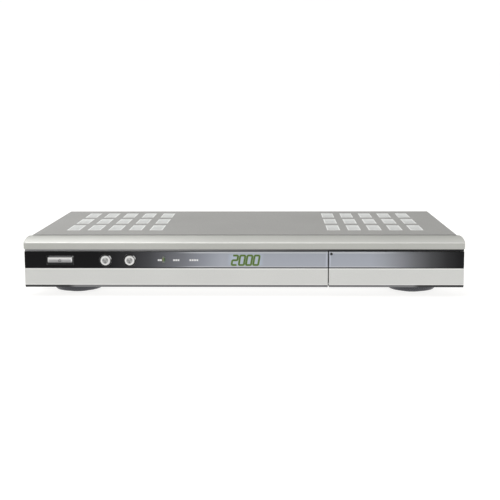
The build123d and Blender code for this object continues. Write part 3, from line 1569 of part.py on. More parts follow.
with BuildPart() as ejector_guide:
    guide_front_y = bay_back_y + running_gap + eject_proud + guide_setback
    block(
        (card_x + cage_half, card_x + cage_half + guide_width),
        (guide_front_y, guide_front_y + guide_length),
        (board_top_z, cage_top_z),
    )
    with BuildSketch(facing(guide_front_y)):
        with Locations(*[(eject_x, z) for z in slot_middles]):
            Rectangle(eject_rod_width + 2 * running_gap, eject_rod_height + 2 * running_gap)
    extrude(amount=-guide_length, mode=Mode.SUBTRACT)
ejector_guide.part.label = "ejector_guide"


def eject_button(z):
    """Push rod with a square cap that shows in the card bay."""
    with BuildPart() as button:
        with BuildSketch(facing(eject_front_y, eject_x, z)):
            Rectangle(eject_cap, eject_cap)
        extrude(amount=-(bay_back_y + running_gap - eject_front_y))
        fillet(button.faces().sort_by(Axis.Y)[0].edges(), eject_cap_edge)
        with BuildSketch(facing(bay_back_y + running_gap, eject_x, z)):
            Rectangle(eject_rod_width, eject_rod_height)
        extrude(amount=-eject_rod_length)
    return button


eject_button_lower = eject_button(slot_middles[0])
eject_button_lower.part.label = "eject_button_lower"
eject_button_upper = eject_button(slot_middles[1])
eject_button_upper.part.label = "eject_button_upper"

# ==== One STEP file for each piece ====
pieces = [
    front_bezel, front_fascia, display_window, card_door, card_door_window, door_catch,
    standby_button, channel_down_button, channel_up_button, button_rings, switch_bodies,
    standby_switch_stem, channel_down_switch_stem, channel_up_switch_stem, power_light_guide,
    display_module, display_segments, infrared_receiver, front_board, chassis_tray, top_cover,
    vent_grilles, rear_panel, cover_screws, feet, foot_pads, foot_screws, main_board, psu_board,
    board_screws, tuner_can, lnb_input, lnb_loop_output, connector_nuts, scart_tv, scart_recorder,
    rca_block, rca_sleeves, serial_port, mains_inlet, mains_inlet_pins, mains_switch_body,
    mains_rocker, primary_capacitor, transformer, psu_heatsink, line_filter, fuse, board_chips,
    processor_heatsink, small_capacitors, cable_headers, ribbon_cable, power_cable, ci_cage,
    ci_pin_headers, ejector_guide, eject_button_lower, eject_button_upper,
]
for piece in pieces:
    export_step(piece.part, f"parts/{piece.part.label}.step")
print(len(pieces), "pieces")
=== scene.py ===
import math
import random

import bmesh
import bpy
from mathutils import Matrix, Vector


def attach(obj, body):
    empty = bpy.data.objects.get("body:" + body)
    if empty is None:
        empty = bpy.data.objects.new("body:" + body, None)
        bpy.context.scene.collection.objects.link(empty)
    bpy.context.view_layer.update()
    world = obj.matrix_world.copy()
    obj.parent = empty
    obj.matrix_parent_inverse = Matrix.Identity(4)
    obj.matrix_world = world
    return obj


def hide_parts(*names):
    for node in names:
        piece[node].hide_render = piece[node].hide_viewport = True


# ---- The receiver's frame ----
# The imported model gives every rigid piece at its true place, in metres: X to the right as seen from
# the front, Y to the rear, Z up, with the origin on the table under the middle of the receiver.
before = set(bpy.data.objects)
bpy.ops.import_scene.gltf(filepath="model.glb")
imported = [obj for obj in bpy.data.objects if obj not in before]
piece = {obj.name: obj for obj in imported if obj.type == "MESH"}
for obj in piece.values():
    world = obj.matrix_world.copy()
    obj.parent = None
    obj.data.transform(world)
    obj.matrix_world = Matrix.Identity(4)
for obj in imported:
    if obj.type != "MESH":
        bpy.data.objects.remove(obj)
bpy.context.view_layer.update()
MM = 0.001

# ---- Floor, lights and camera ----
# A plain pale studio: a seamless light table that curves up far behind the receiver, a large soft light
# overhead, one behind at the left that grades the slope of the bezel, and a small one at the right.
scene = bpy.context.scene
scene.view_settings.view_transform = "Standard"
scene.view_settings.look = "None"

floor_reach, wall_top = 9.0, 4.0
curve_start, curve_radius, curve_steps = 2.2, 1.2, 16
sweep_profile = [(-floor_reach, 0.0), (curve_start, 0.0)]
for step in range(1, curve_steps + 1):
    turn = math.radians(90 * step / curve_steps)
    sweep_profile.append((curve_start + curve_radius * math.sin(turn), curve_radius * (1 - math.cos(turn))))
sweep_profile.append((curve_start + curve_radius, wall_top))
sweep = bmesh.new()
sweep_rows = [[sweep.verts.new((x, y, z)) for x in (-floor_reach, floor_reach)] for y, z in sweep_profile]
for lower, upper in zip(sweep_rows, sweep_rows[1:]):
    sweep.faces.new((lower[0], lower[1], upper[1], upper[0])).smooth = True
floor_mesh = bpy.data.meshes.new("studio_floor")
sweep.to_mesh(floor_mesh)
sweep.free()
floor = bpy.data.objects.new("studio_floor", floor_mesh)
scene.collection.objects.link(floor)


def connect(tree, target, inputs):
    """Gives a node its inputs, each a plain value or another node's output."""
    for label, value in inputs.items():
        if isinstance(value, bpy.types.NodeSocket):
            tree.links.new(value, target.inputs[label])
        else:
            target.inputs[label].default_value = value


def node(tree, kind, inputs=(), **settings):
    """Adds a node with its settings and inputs."""
    made = tree.nodes.new(kind)
    for setting, value in settings.items():
        setattr(made, setting, value)
    connect(tree, made, dict(inputs))
    return made


def new_finish(name, roughness=0.5, metallic=0.0, specular=0.5):
    """Empty procedural material, with its tree and its shader."""
    material = bpy.data.materials.new(name)
    material.use_nodes = True
    tree = material.node_tree
    shader = tree.nodes["Principled BSDF"]
    connect(tree, shader, {"Roughness": roughness, "Metallic": metallic, "Specular IOR Level": specular})
    return material, tree, shader


paper_white = (1.0, 0.995, 0.985, 1)
floor_paper, tree, shader = new_finish("floor_paper", 0.9, 0.0, 0.1)
connect(tree, shader, {"Base Color": (0.25, 0.249, 0.246, 1), "Emission Color": paper_white,
                       "Emission Strength": 0.86})
floor_mesh.materials.append(floor_paper)

# The sky lights the receiver softly, and is itself seen as white past the floor's edge
sky = bpy.data.worlds.new("studio_sky")
sky.use_nodes = True
tree = sky.node_tree
seen = node(tree, "ShaderNodeLightPath").outputs["Is Camera Ray"]
strength = node(tree, "ShaderNodeMapRange", {"Value": seen, "To Min": 0.48, "To Max": 1.0}).outputs["Result"]
connect(tree, tree.nodes["Background"], {"Color": paper_white, "Strength": strength})
scene.world = sky

for name, place, target, size, power in (
    ("overhead_softbox", (-0.35, -0.25, 1.5), (0, 0, 0), (1.2, 1.0), 12),
    ("left_rear_softbox", (-1.1, 1.5, 1.2), (0, 0, 0), (1.8, 1.2), 9),
    ("right_softbox", (0.95, -1.05, 0.9), (0.05, -0.11, 0.03), (0.35, 0.35), 1.0),
):
    light = bpy.data.lights.new(name, "AREA")
    light.shape = "RECTANGLE"
    light.size, light.size_y = size
    light.energy = power
    lamp = bpy.data.objects.new(name, light)
    lamp.location = place
    lamp.rotation_euler = (Vector(target) - Vector(place)).to_track_quat("-Z", "Y").to_euler()
    scene.collection.objects.link(lamp)

sensor_width, picture_width, focal_length = 36.0, 500.0, 1054.7  # the last two in pixels
camera_pitch, camera_roll, camera_yaw = -0.1518, 0.003, 0.0219
camera_data = bpy.data.cameras.new("camera")
camera_data.sensor_width = sensor_width
camera_data.lens = sensor_width * focal_length / picture_width
camera_data.clip_end = 50.0
camera = bpy.data.objects.new("camera", camera_data)
camera.location = (29.15 * MM, -1125.0 * MM, 201.1 * MM)
camera.rotation_euler = (math.pi / 2 + camera_pitch, camera_roll, camera_yaw)
scene.collection.objects.link(camera)
scene.camera = camera


# ---- Front bezel ----
# The long silver nose over the front: injection-moulded ABS, sprayed with a satin metallic lacquer.
# It snaps over the top edge of the fascia, and the cover butts against its back.
def own_place(tree, scale=(1, 1, 1), shift=(0, 0, 0)):
    """The piece's own coordinates, moved and stretched."""
    where = node(tree, "ShaderNodeTexCoord").outputs["Object"]
    return node(tree, "ShaderNodeMapping", {"Vector": where, "Scale": scale, "Location": shift}).outputs[0]


def grains(tree, where, scale, detail=2.0):
    """Noise at so many grains a metre."""
    noise = node(tree, "ShaderNodeTexNoise", {"Vector": where, "Scale": scale, "Detail": detail})
    return noise.outputs["Fac"]


def relief(tree, pattern, height):
    """Bumps from a pattern, at most so many millimetres high."""
    return node(tree, "ShaderNodeBump", {"Distance": height * MM, "Height": pattern}).outputs["Normal"]


def spread(tree, value, low, high, start=0.3, end=0.7, curve="LINEAR"):
    """Runs from low to high while the value runs from start to end."""
    limits = {"Value": value, "From Min": start, "From Max": end, "To Min": low, "To Max": high}
    return node(tree, "ShaderNodeMapRange", limits, interpolation_type=curve).outputs["Result"]


def shades(tree, factor, stops, curve="LINEAR"):
    """Colour that runs through the given stops."""
    ramp = node(tree, "ShaderNodeValToRGB", {"Fac": factor})
    ramp.color_ramp.interpolation = curve
    while len(ramp.color_ramp.elements) < len(stops):
        ramp.color_ramp.elements.new(0.5)
    for stop, (position, colour) in zip(ramp.color_ramp.elements, stops):
        stop.position = position
        stop.color = (*colour, 1)
    return ramp.outputs["Color"]


def mixed(tree, mask, under, over):
    """One colour laid over another where the mask is 1."""
    mix = tree.nodes.new("ShaderNodeMix")
    mix.data_type = "RGBA"
    for socket, value in ((mix.inputs[0], mask), (mix.inputs[6], under), (mix.inputs[7], over)):
        if isinstance(value, bpy.types.NodeSocket):
            tree.links.new(value, socket)
        else:
            socket.default_value = (*value, 1)
    return mix.outputs[2]


def across(tree, axis, start, end, mirrored=False):
    """Mask that rises from 0 to 1 between two places along an axis, given in millimetres."""
    place = node(tree, "ShaderNodeSeparateXYZ", {"Vector": own_place(tree)}).outputs[axis]
    if mirrored:
        place = node(tree, "ShaderNodeMath", {0: place}, operation="ABSOLUTE").outputs[0]
    return spread(tree, place, 0.0, 1.0, start * MM, end * MM, "SMOOTHSTEP")


def between(axis, low, high, blur):
    """The two masks across an axis that leave the stretch from low to high, each soft over the blur."""
    return (axis, low, low + blur), (axis, high, high - blur)


def around(tree, x, z, inside, outside, within=True):
    """Mask inside a circle on the front, or outside it, that fades between two radii in millimetres."""
    flat = own_place(tree, (1, 0, 1), (-x * MM, 0, -z * MM))
    distance = node(tree, "ShaderNodeVectorMath", {0: flat}, operation="LENGTH").outputs["Value"]
    return spread(tree, distance, float(within), float(not within), inside * MM, outside * MM)


def all_of(tree, *masks):
    """Where every mask is 1."""
    product = masks[0]
    for mask in masks[1:]:
        product = node(tree, "ShaderNodeMath", {0: product, 1: mask}, operation="MULTIPLY").outputs[0]
    return product


def overprint(material, *layers):
    """Lays colours over a finish, each inside all its masks; a tuple stands for a mask across an axis."""
    tree = material.node_tree
    socket = tree.nodes["Principled BSDF"].inputs["Base Color"]
    for colour, *masks in layers:
        mask = all_of(tree, *(across(tree, *mask) if isinstance(mask, tuple) else mask for mask in masks))
        tree.links.new(mixed(tree, mask, socket.links[0].from_socket, colour), socket)


def surface(name, dark, light, roughness, grain=900.0, blotch=14.0, height=0.01, metallic=0.0,
            specular=0.5, stretch=(1, 1, 1), rubbed=None):
    """Finish with a slow change of shade, a fine grain in relief and, on request, rubbed edges."""
    material, tree, shader = new_finish(name, roughness[0], metallic, specular)
    where = own_place(tree, stretch)
    slow = grains(tree, where, blotch)
    fine = grains(tree, where, grain)
    colour = shades(tree, slow, [(0.3, dark), (0.7, light)])
    colour = mixed(tree, spread(tree, fine, 0.0, 0.3), colour, tuple(0.82 * tone for tone in dark))
    if rubbed:
        round_edge = node(tree, "ShaderNodeBevel", {"Radius": 0.35 * MM}, samples=4).outputs[0]
        true_face = node(tree, "ShaderNodeNewGeometry").outputs["Normal"]
        match = node(tree, "ShaderNodeVectorMath", {0: round_edge, 1: true_face}, operation="DOT_PRODUCT")
        edge = spread(tree, match.outputs["Value"], 0.7, 0.0, 0.90, 0.995)
        colour = mixed(tree, all_of(tree, edge, spread(tree, fine, 0.3, 1.0)), colour, rubbed)
    connect(tree, shader, {"Base Color": colour, "Roughness": spread(tree, fine, *roughness),
                           "Normal": relief(tree, fine, height)})
    return material


def wear(material, *names):
    """Gives rigid pieces their finish."""
    for name in names:
        piece[name].data.materials.clear()
        piece[name].data.materials.append(material)


spray_grain = 2600.0
bezel_lacquer = surface("bezel_lacquer", (0.49, 0.495, 0.465), (0.53, 0.535, 0.505), (0.32, 0.40),
                        grain=spray_grain, metallic=0.45, rubbed=(0.66, 0.66, 0.64))
# A painted highlight lightens the bend where the nose's slope meets its face.
painted_highlight_bend = between("Z", 52.5, 54.0, 0.4)
overprint(bezel_lacquer, ((0.74, 0.74, 0.71), *painted_highlight_bend))
wear(bezel_lacquer, "front_bezel")

# ---- Front fascia ----
# One moulding carries the lower band, the seat of the window and the card bay, sprayed silver. Painted shade
# darkens the groove under the bezel, more towards the right, and the joint with the window; a painted
# highlight runs along the band's top edge under the window, and painted shade darkens its drip edge, black at
# both ends.
fascia_y, fascia_end = -111.0, 214.3
band_top, band_foot = 28.0, 11.4
window_bottom, window_top = 28.5, 44.3
black = (0.012, 0.012, 0.013)


def silver_band(name, *groove_shades):
    """Silver lacquer, dark with painted shade in the joints, with a painted highlight on its edge under the
    window, a lighter strip above its foot and painted shade over the foot.
    """
    lacquer = surface(name, (0.70, 0.705, 0.685), (0.735, 0.74, 0.72), (0.42, 0.5), grain=spray_grain,
                      metallic=0.1, rubbed=(0.80, 0.80, 0.78))
    below_window = ("Z", band_top + 1.4, band_top + 1.0)
    shaded_drip_edge, black_shade_ends = ("Z", band_foot + 0.2, band_foot - 0.2), ("X", 164.0, 172.0, True)
    # Painted shade in the groove and along the joint under the window, a painted highlight on the band's top
    # edge, and painted shade over the drip edge, black at its ends.
    overprint(
        lacquer,
        ((0.045, 0.045, 0.047), ("Y", fascia_y + 1.7, fascia_y + 2.1),
         ("X", fascia_end - 0.4, fascia_end - 0.6, True)),
        *groove_shades,
        ((0.02, 0.02, 0.021), ("Z", band_top - 0.1, band_top), below_window,
         ("Y", fascia_y + 0.2, fascia_y + 0.5)),
        ((0.96, 0.965, 0.94), ("Z", band_top - 1.3, band_top - 0.9), ("Y", fascia_y + 0.4, fascia_y + 0.2)),
        ((0.06, 0.06, 0.062), ("Z", band_top - 0.3, band_top - 0.2), below_window),
        ((0.80, 0.805, 0.785), ("Z", band_foot + 1.2, band_foot + 0.8)),
        ((0.17, 0.17, 0.175), shaded_drip_edge),
        (black, shaded_drip_edge, black_shade_ends),
    )
    return lacquer


# Painted shade in the groove under the bezel: grey at the left end, going dark towards the right.
shaded_under_bezel, shade_deepens_rightward = ("Z", window_top - 0.1, window_top + 0.2), ("X", -120.0, 150.0)
wear(silver_band("band_lacquer", ((0.38, 0.38, 0.39), shaded_under_bezel),
                 ((0.042, 0.042, 0.044), shaded_under_bezel, shade_deepens_rightward)), "front_fascia")
moulded_black = surface("moulded_black", black, (0.018, 0.018, 0.02), (0.5, 0.62), height=0.02)
wear(moulded_black, "door_catch")

# ---- Display window ----
# A strip of dark acrylic whose colour carries a painted reflection, near black at its left end and pale steel
# blue in the middle. It is glued into its seat in the fascia, with painted highlights along its edges and
# beside the door's seam.
display_x, display_z = 2.2, 35.8
seam_x = 82.7
window_tint_painted_reflection, tree, shader = new_finish("window_tint_painted_reflection", 0.12, 0.0, 0.05)
seat = own_place(tree)
left_to_right = node(tree, "ShaderNodeSeparateXYZ", {"Vector": seat}).outputs["X"]
reflected_steel_blue = (0.425, 0.447, 0.503)
# The painted reflection: near black at the left end, pale steel blue over the middle, near black again at the
# right end.
painted_reflection_fade = [
    (0.165, (0.0075, 0.007, 0.0075)), (0.205, (0.018, 0.018, 0.019)), (0.245, (0.036, 0.036, 0.039)),
    (0.285, (0.068, 0.069, 0.075)), (0.330, (0.150, 0.154, 0.170)), (0.365, (0.205, 0.212, 0.236)),
    (0.415, (0.325, 0.340, 0.387)), (0.450, reflected_steel_blue), (0.790, reflected_steel_blue), (0.818, (0.375, 0.392, 0.437)),
    (0.855, (0.275, 0.284, 0.312)), (0.890, (0.165, 0.169, 0.182)), (0.925, (0.082, 0.083, 0.088)),
    (0.960, (0.034, 0.034, 0.036)), (0.990, (0.014, 0.014, 0.015)),
]
colour = shades(tree, spread(tree, left_to_right, 0.0, 1.0, -fascia_end * MM, fascia_end * MM), painted_reflection_fade)
colour = mixed(tree, spread(tree, grains(tree, seat, 4200.0), 0.0, 0.015), colour, (0.30, 0.31, 0.34))
connect(tree, shader, {"Base Color": colour, "Roughness": spread(tree, grains(tree, seat, 60.0), 0.10, 0.17),
                       "Normal": relief(tree, grains(tree, seat, 300.0), 0.004)})
pale_part = (("X", -70.0, -40.0), ("X", 160.0, 120.0))
seam_painted_highlight = (0.535, 0.563, 0.634)
# A paler patch round the digits; painted highlights along the window's top and bottom edges and beside the
# door's seam; painted shade along its bottom edge.
overprint(
    window_tint_painted_reflection,
    ((0.49, 0.545, 0.64), *between("X", display_x - 19.0, display_x + 19.0, 7.0),
     ("Z", window_bottom, display_z - 3.0), ("Z", window_top, display_z + 4.0)),
    ((0.56, 0.575, 0.60), *between("Z", window_bottom + 0.4, window_bottom + 1.5, 0.3), *pale_part),
    ((0.66, 0.675, 0.70), *between("Z", window_top - 1.7, window_top - 0.5, 0.3), *pale_part),
    (seam_painted_highlight, *between("X", seam_x - 2.5, seam_x - 1.3, 0.2)),
    (seam_painted_highlight, *between("X", seam_x + 1.3, seam_x + 2.5, 0.2)),
    ((0.10, 0.10, 0.115), ("Z", window_bottom + 0.45, window_bottom + 0.3), *pale_part),
)
wear(window_tint_painted_reflection, "display_window")


sharp_edge = math.radians(35)


def finish_mesh(name, mesh, material=None, body="receiver", stands_for=()):
    """Piece at the origin, shaded smooth except over its sharp edges, that rides on its body."""
    shape = bmesh.new()
    shape.from_mesh(mesh)
    bmesh.ops.remove_doubles(shape, verts=shape.verts, dist=0.002 * MM)
    bmesh.ops.recalc_face_normals(shape, faces=shape.faces)
    for face in shape.faces:
        face.smooth = True
    for edge in shape.edges:
        edge.smooth = len(edge.link_faces) == 2 and edge.calc_face_angle(0.0) < sharp_edge
    shape.to_mesh(mesh)
    shape.free()
    if material:
        mesh.materials.append(material)
    finished = bpy.data.objects.new(name, mesh)
    scene.collection.objects.link(finished)
    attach(finished, body)
    if stands_for:
        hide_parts(*stands_for)


def plain_mesh(name, source):
    """The mesh that an object's modifiers give. The object itself is removed."""
    mesh = bpy.data.meshes.new_from_object(source.evaluated_get(bpy.context.evaluated_depsgraph_get()))
    source.modifiers.clear()
    bpy.data.objects.remove(source)
    mesh.name = name
    return mesh


class Growth:
    """Geometry Nodes tree with a named input for each size, which puts one shape on every point."""

    def __init__(self, name, sizes, material):
        self.tree = bpy.data.node_groups.new(name, "GeometryNodeTree")
        self.sizes, self.material = sizes, material
        new_socket = self.tree.interface.new_socket
        new_socket("Points", in_out="INPUT", socket_type="NodeSocketGeometry")
        for label, size in sizes.items():
            kind = "NodeSocketInt" if isinstance(size, int) else "NodeSocketFloat"
            new_socket(label, in_out="INPUT", socket_type=kind)
        new_socket("Piece", in_out="OUTPUT", socket_type="NodeSocketGeometry")
        inputs = self.tree.nodes.new("NodeGroupInput").outputs
        self.points, self.given = inputs["Points"], [inputs[label] for label in sizes]

    def add(self, kind, inputs, output=0, **settings):
        """Adds a node and gives one of its outputs."""
        return node(self.tree, kind, inputs, **settings).outputs[output]

    def part(self, value, share):
        """A share of one size."""
        return self.add("ShaderNodeMath", {0: value, 1: share}, operation="MULTIPLY")

    def sum(self, first, second, share):
        """First plus a share of the second."""
        return self.add("ShaderNodeMath", {0: second, 1: share, 2: first}, operation="MULTIPLY_ADD")

    def vector(self, **parts):
        """Three sizes as one vector."""
        return self.add("ShaderNodeCombineXYZ", parts)

    def bar(self, width, depth, height):
        """Block of three sizes."""
        return self.add("GeometryNodeMeshCube", {"Size": self.vector(X=width, Y=depth, Z=height)}, "Mesh")

    def drum(self, sides, radius, depth):
        """Upright cylinder."""
        sizes = {"Vertices": sides, "Radius": radius, "Depth": depth}
        return self.add("GeometryNodeMeshCylinder", sizes, "Mesh")

    def moved(self, shape, **by):
        """The shape, moved along its axes."""
        return self.add("GeometryNodeTransform", {"Geometry": shape, "Translation": self.vector(**by)})

    def joined(self, shapes):
        """Several shapes as one."""
        whole = node(self.tree, "GeometryNodeJoinGeometry")
        for shape in shapes:
            self.tree.links.new(shape, whole.inputs[0])
        return whole.outputs[0]

    def crossed(self, solid, width, length, depth, top):
        """The solid with two crossed slots cut down into its top."""
        cut = node(self.tree, "GeometryNodeMeshBoolean", {"Mesh 1": solid}, operation="DIFFERENCE",
                   solver="EXACT")
        for sides in ((width, length), (length, width)):
            slot = self.moved(self.bar(*sides, self.part(depth, 2.0)), Z=top)
            self.tree.links.new(slot, cut.inputs["Mesh 2"])
        return cut.outputs["Mesh"]

    def outward(self, axis):
        """Turn that points an axis of the shape where its point faces."""
        facing = self.add("GeometryNodeInputNamedAttribute", {"Name": "facing"}, data_type="FLOAT_VECTOR")
        return self.add("FunctionNodeAlignRotationToVector", {"Vector": facing}, axis=axis)

    def place(self, shape, turn=None):
        """Puts the shape on every point, makes it real and gives it its material."""
        on_points = {"Points": self.points, "Instance": shape}
        if turn:
            on_points["Rotation"] = turn
        copies = self.add("GeometryNodeInstanceOnPoints", on_points)
        real = self.add("GeometryNodeRealizeInstances", {"Geometry": copies})
        coated = self.add("GeometryNodeSetMaterial", {"Geometry": real, "Material": self.material})
        self.tree.links.new(coated, self.tree.nodes.new("NodeGroupOutput").inputs["Piece"])

    def grow(self, name, places, slot, facing=(), changed=(), stands_for=()):
        """Runs the tree on points, given in millimetres, and keeps the result as a plain mesh."""
        points = bpy.data.meshes.new(name + "_points")
        points.from_pydata([[MM * number for number in place] for place in places], [], [])
        if facing:
            turned = points.attributes.new("facing", "FLOAT_VECTOR", "POINT")
            for entry, direction in zip(turned.data, facing):
                entry.vector = direction
        seed = bpy.data.objects.new(name + "_seed", points)
        scene.collection.objects.link(seed)
        modifier = seed.modifiers.new("growth", "NODES")
        modifier.node_group = self.tree
        sizes = self.sizes | dict(changed)
        for item in self.tree.interface.items_tree:
            if item.name in sizes:
                size = sizes[item.name]
                modifier[item.identifier] = size if isinstance(size, int) else size * MM
        finish_mesh(name, plain_mesh(name, seed), stands_for=stands_for)


def bar_growth(name, width, depth, height, material):
    """Growth whose shape is one bar."""
    bars = Growth(name, {"Width": width, "Depth": depth, "Height": height}, material)
    bars.place(bars.bar(*bars.given))
    return bars


# The legends beside the lamp are plain dashes, screened in white on the front of the window
white_ink = surface("white_ink", (0.84, 0.84, 0.85), (0.90, 0.90, 0.91), (0.5, 0.6), grain=3000.0)
legend_z = 35.9
legend_places = [
    (start + pitch * number, fascia_y - 0.02, legend_z)
    for start, count, pitch in ((-82.7, 2, 2.1), (-67.7, 3, 2.15), (-51.7, 4, 2.25))
    for number in range(count)
]
bar_growth("legend_dash", 1.8, 0.06, 1.75, white_ink).grow("legend_dashes", legend_places, "display_plastic")

# ---- Lamp and display ----
# The power lamp is a bar of green acrylic lit from behind. The digits are the light of an LED block that
# comes through the window's tint: a thin layer on its front, with a paler glow round it.
lamp_x, lamp_z = -77.9, 36.45
lamp_acrylic, tree, shader = new_finish("lamp_acrylic", 0.2)
green = mixed(tree, across(tree, "X", lamp_x - 0.5, lamp_x + 0.5), (0.13, 0.135, 0.06), (0.030, 0.080, 0.022))
cloudy = mixed(tree, spread(tree, grains(tree, own_place(tree), 900.0), 0.0, 0.2), green, (0.12, 0.16, 0.06))
connect(tree, shader, {"Base Color": cloudy, "Emission Color": green, "Emission Strength": 0.3})
for side in (-1, 1):
    overprint(lamp_acrylic, ((0.13, 0.133, 0.145), ("Z", lamp_z + 1.25 * side, lamp_z + 2.25 * side)))
wear(lamp_acrylic, "power_light_guide")
wear(surface("display_filter", (0.01, 0.014, 0.01), (0.015, 0.02, 0.014), (0.15, 0.2)), "display_module")
lit_green, tree, shader = new_finish("lit_green", 0.35, 0.0, 0.2)
evenness = grains(tree, own_place(tree), 700.0)
connect(tree, shader, {
    "Base Color": shades(tree, evenness, [(0.3, (0.069, 0.119, 0.028)), (0.7, (0.10, 0.156, 0.042))]),
    "Emission Color": shades(tree, evenness, [(0.3, (0.125, 0.225, 0.05)), (0.7, (0.162, 0.275, 0.062))]),
    "Emission Strength": 0.15})
wear(lit_green, "display_segments")
glow_green = surface("glow_green", (0.31, 0.40, 0.25), (0.35, 0.44, 0.29), (0.3, 0.4), grain=spray_grain)


def rounded(points, radius, closed):
    """Path in X and Z whose corners are turned into small arcs."""
    path = [] if closed else [Vector(points[0])]
    count, steps = len(points), 5
    for number in range(count) if closed else range(1, count - 1):
        before, corner, after = (Vector(points[(number + move) % count]) for move in (-1, 0, 1))
        start = corner + (before - corner).normalized() * radius
        end = corner + (after - corner).normalized() * radius
        for step in range(steps + 1):
            share = step / steps
            path.append(start * (1 - share) ** 2 + corner * 2 * share * (1 - share) + end * share ** 2)
    return path if closed else path + [Vector(points[-1])]


def stroke(shape, path, half_width, front_y, back_y, closed=False):
    """Flat band of even width along a path in X and Z, in millimetres."""
    rows = []
    for number, point in enumerate(path):
        before = path[number - 1] if closed or number else point
        after = path[(number + 1) % len(path)] if closed or number < len(path) - 1 else point
        along = (after - before).normalized()
        side = Vector((-along.y, along.x)) * half_width
        rows.append([
            shape.verts.new((edge.x * MM, y * MM, edge.y * MM))
            for edge, y in ((point + side, front_y), (point - side, front_y), (point - side, back_y),
                            (point + side, back_y))
        ])
    for row, following in zip(rows, rows[1:] + (rows[:1] if closed else [])):
        for corner in range(4):
            after = (corner + 1) % 4
            shape.faces.new((row[corner], row[after], following[after], following[corner]))
    if not closed:
        shape.faces.new(rows[0][::-1])
        shape.faces.new(rows[-1])


def keep(name, shape, material, body="receiver", stands_for=()):
    """Ends a piece that is built in mesh code."""
    mesh = bpy.data.meshes.new(name)
    shape.to_mesh(mesh)
    shape.free()
    finish_mesh(name, mesh, material, body, stands_for)


digit_pitch = 7.0
half_w, half_h = 2.45, 4.65
corner_radius = 1.1
digit_lean = math.tan(math.radians(10.0))
two = [(-half_w, half_h), (half_w, half_h), (half_w, 0), (-half_w, 0), (-half_w, -half_h), (half_w, -half_h)]
zero = [(-half_w, half_h), (half_w, half_h), (half_w, -half_h), (-half_w, -half_h)]
for name, half_width, thickness, material in (("lit_digits", 0.8, 0.06, lit_green),
                                              ("digit_glow", 1.08, 0.03, glow_green)):
    digits = bmesh.new()
    for number, outline in enumerate((two, zero, zero, zero)):
        closed, middle_x = outline is zero, display_x + (number - 1.5) * digit_pitch
        path = [
            Vector((middle_x + point.x + point.y * digit_lean, display_z + point.y))
            for point in rounded(outline, corner_radius, closed)
        ]
        stroke(digits, path, half_width, fascia_y - thickness, fascia_y, closed)
    keep(name, digits, material)

# ---- Card door ----
# A flap moulded in the same ABS as the fascia and sprayed with it. It turns on two pins at its foot and
# carries its own length of the window, with a small black plug in one corner.
wear(silver_band("door_lacquer"), "card_door")
wear(window_tint_painted_reflection, "card_door_window")


def turned(shape, middle, profile, hollow=False, sides=32):
    """Revolves a profile of radii and depths, in millimetres, round an axis that runs to the rear."""
    rings = []
    for radius, depth in profile:
        ring = []
        for number in range(sides):
            turn = math.tau * number / sides
            x, z = middle[0] + radius * math.cos(turn), middle[1] + radius * math.sin(turn)
            ring.append(shape.verts.new((MM * x, MM * depth, MM * z)))
        rings.append(ring)
    for near, far in zip(rings, rings[1:] + (rings[:1] if hollow else [])):
        for number in range(sides):
            after = (number + 1) % sides
            shape.faces.new((near[number], near[after], far[after], far[number]))
    if not hollow:
        shape.faces.new(rings[0])
        shape.faces.new(rings[-1][::-1])


plug_x, plug_z, plug_radius, plug_head = 85.6, 42.0, 0.95, 1.3
plug = bmesh.new()
turned(plug, (plug_x, plug_z), [
    (plug_radius, fascia_y + 1.0), (plug_radius, fascia_y - 0.01), (plug_head, fascia_y - 0.01),
    (plug_head, fascia_y - 0.1), (plug_head - 0.25, fascia_y - 0.18)], sides=24)
keep("door_plug", plug, moulded_black, "card_door")

# ---- Keys and their trim ----
# Lacquered keys: the long one has a sunk face with a power mark, the round ones a turned, dished face.
# A glossy black ring or frame is pressed into the window round each.
button_z, standby_x = 35.6, -179.6
key_silver = ((0.86, 0.86, 0.85), (0.90, 0.90, 0.89))
standby_lacquer = surface("standby_lacquer", *key_silver, (0.3, 0.38), grain=spray_grain, metallic=0.1,
                          rubbed=(0.94, 0.94, 0.93))
tree = standby_lacquer.node_tree
brushed = grains(tree, own_place(tree, (0.3, 1, 6)), 900.0)
sunk_grey = shades(tree, brushed, [(0.35, (0.35, 0.35, 0.355)), (0.65, (0.43, 0.43, 0.435))])
# The sunk face is grey; painted shade darkens its lower part, and painted shadow in black lies along the
# key's foot and its left end.
overprint(
    standby_lacquer,
    (sunk_grey, *between("X", standby_x - 11.3, standby_x + 11.3, 0.6),
     ("Z", button_z + 2.0, button_z + 0.1)),
    ((0.34, 0.34, 0.345), ("Z", button_z - 0.2, button_z - 1.6)),
    (black, ("Z", button_z - 1.75, button_z - 2.0)),
    (black, ("X", standby_x - 11.5, standby_x - 11.7)),
)
wear(standby_lacquer, "standby_button")


def arc_path(x, z, radius, start, sweep, steps):
    """Path in X and Z along a circle, from one angle on by another, in degrees."""
    turns = [math.radians(start + sweep * step / steps) for step in range(steps + 1)]
    return [Vector((x + radius * math.cos(turn), z + radius * math.sin(turn))) for turn in turns]


mark_y, mark_half, mark_gap = -111.7, 0.23, 76
mark = bmesh.new()
for path in (arc_path(standby_x, button_z - 0.1, 1.15, 90 + mark_gap / 2, 360 - mark_gap, 20),
             [Vector((standby_x, button_z)), Vector((standby_x, button_z + 1.45))]):
    stroke(mark, path, mark_half, mark_y - 0.05, mark_y + 0.02)
keep("power_mark", mark, moulded_black, "standby_button")

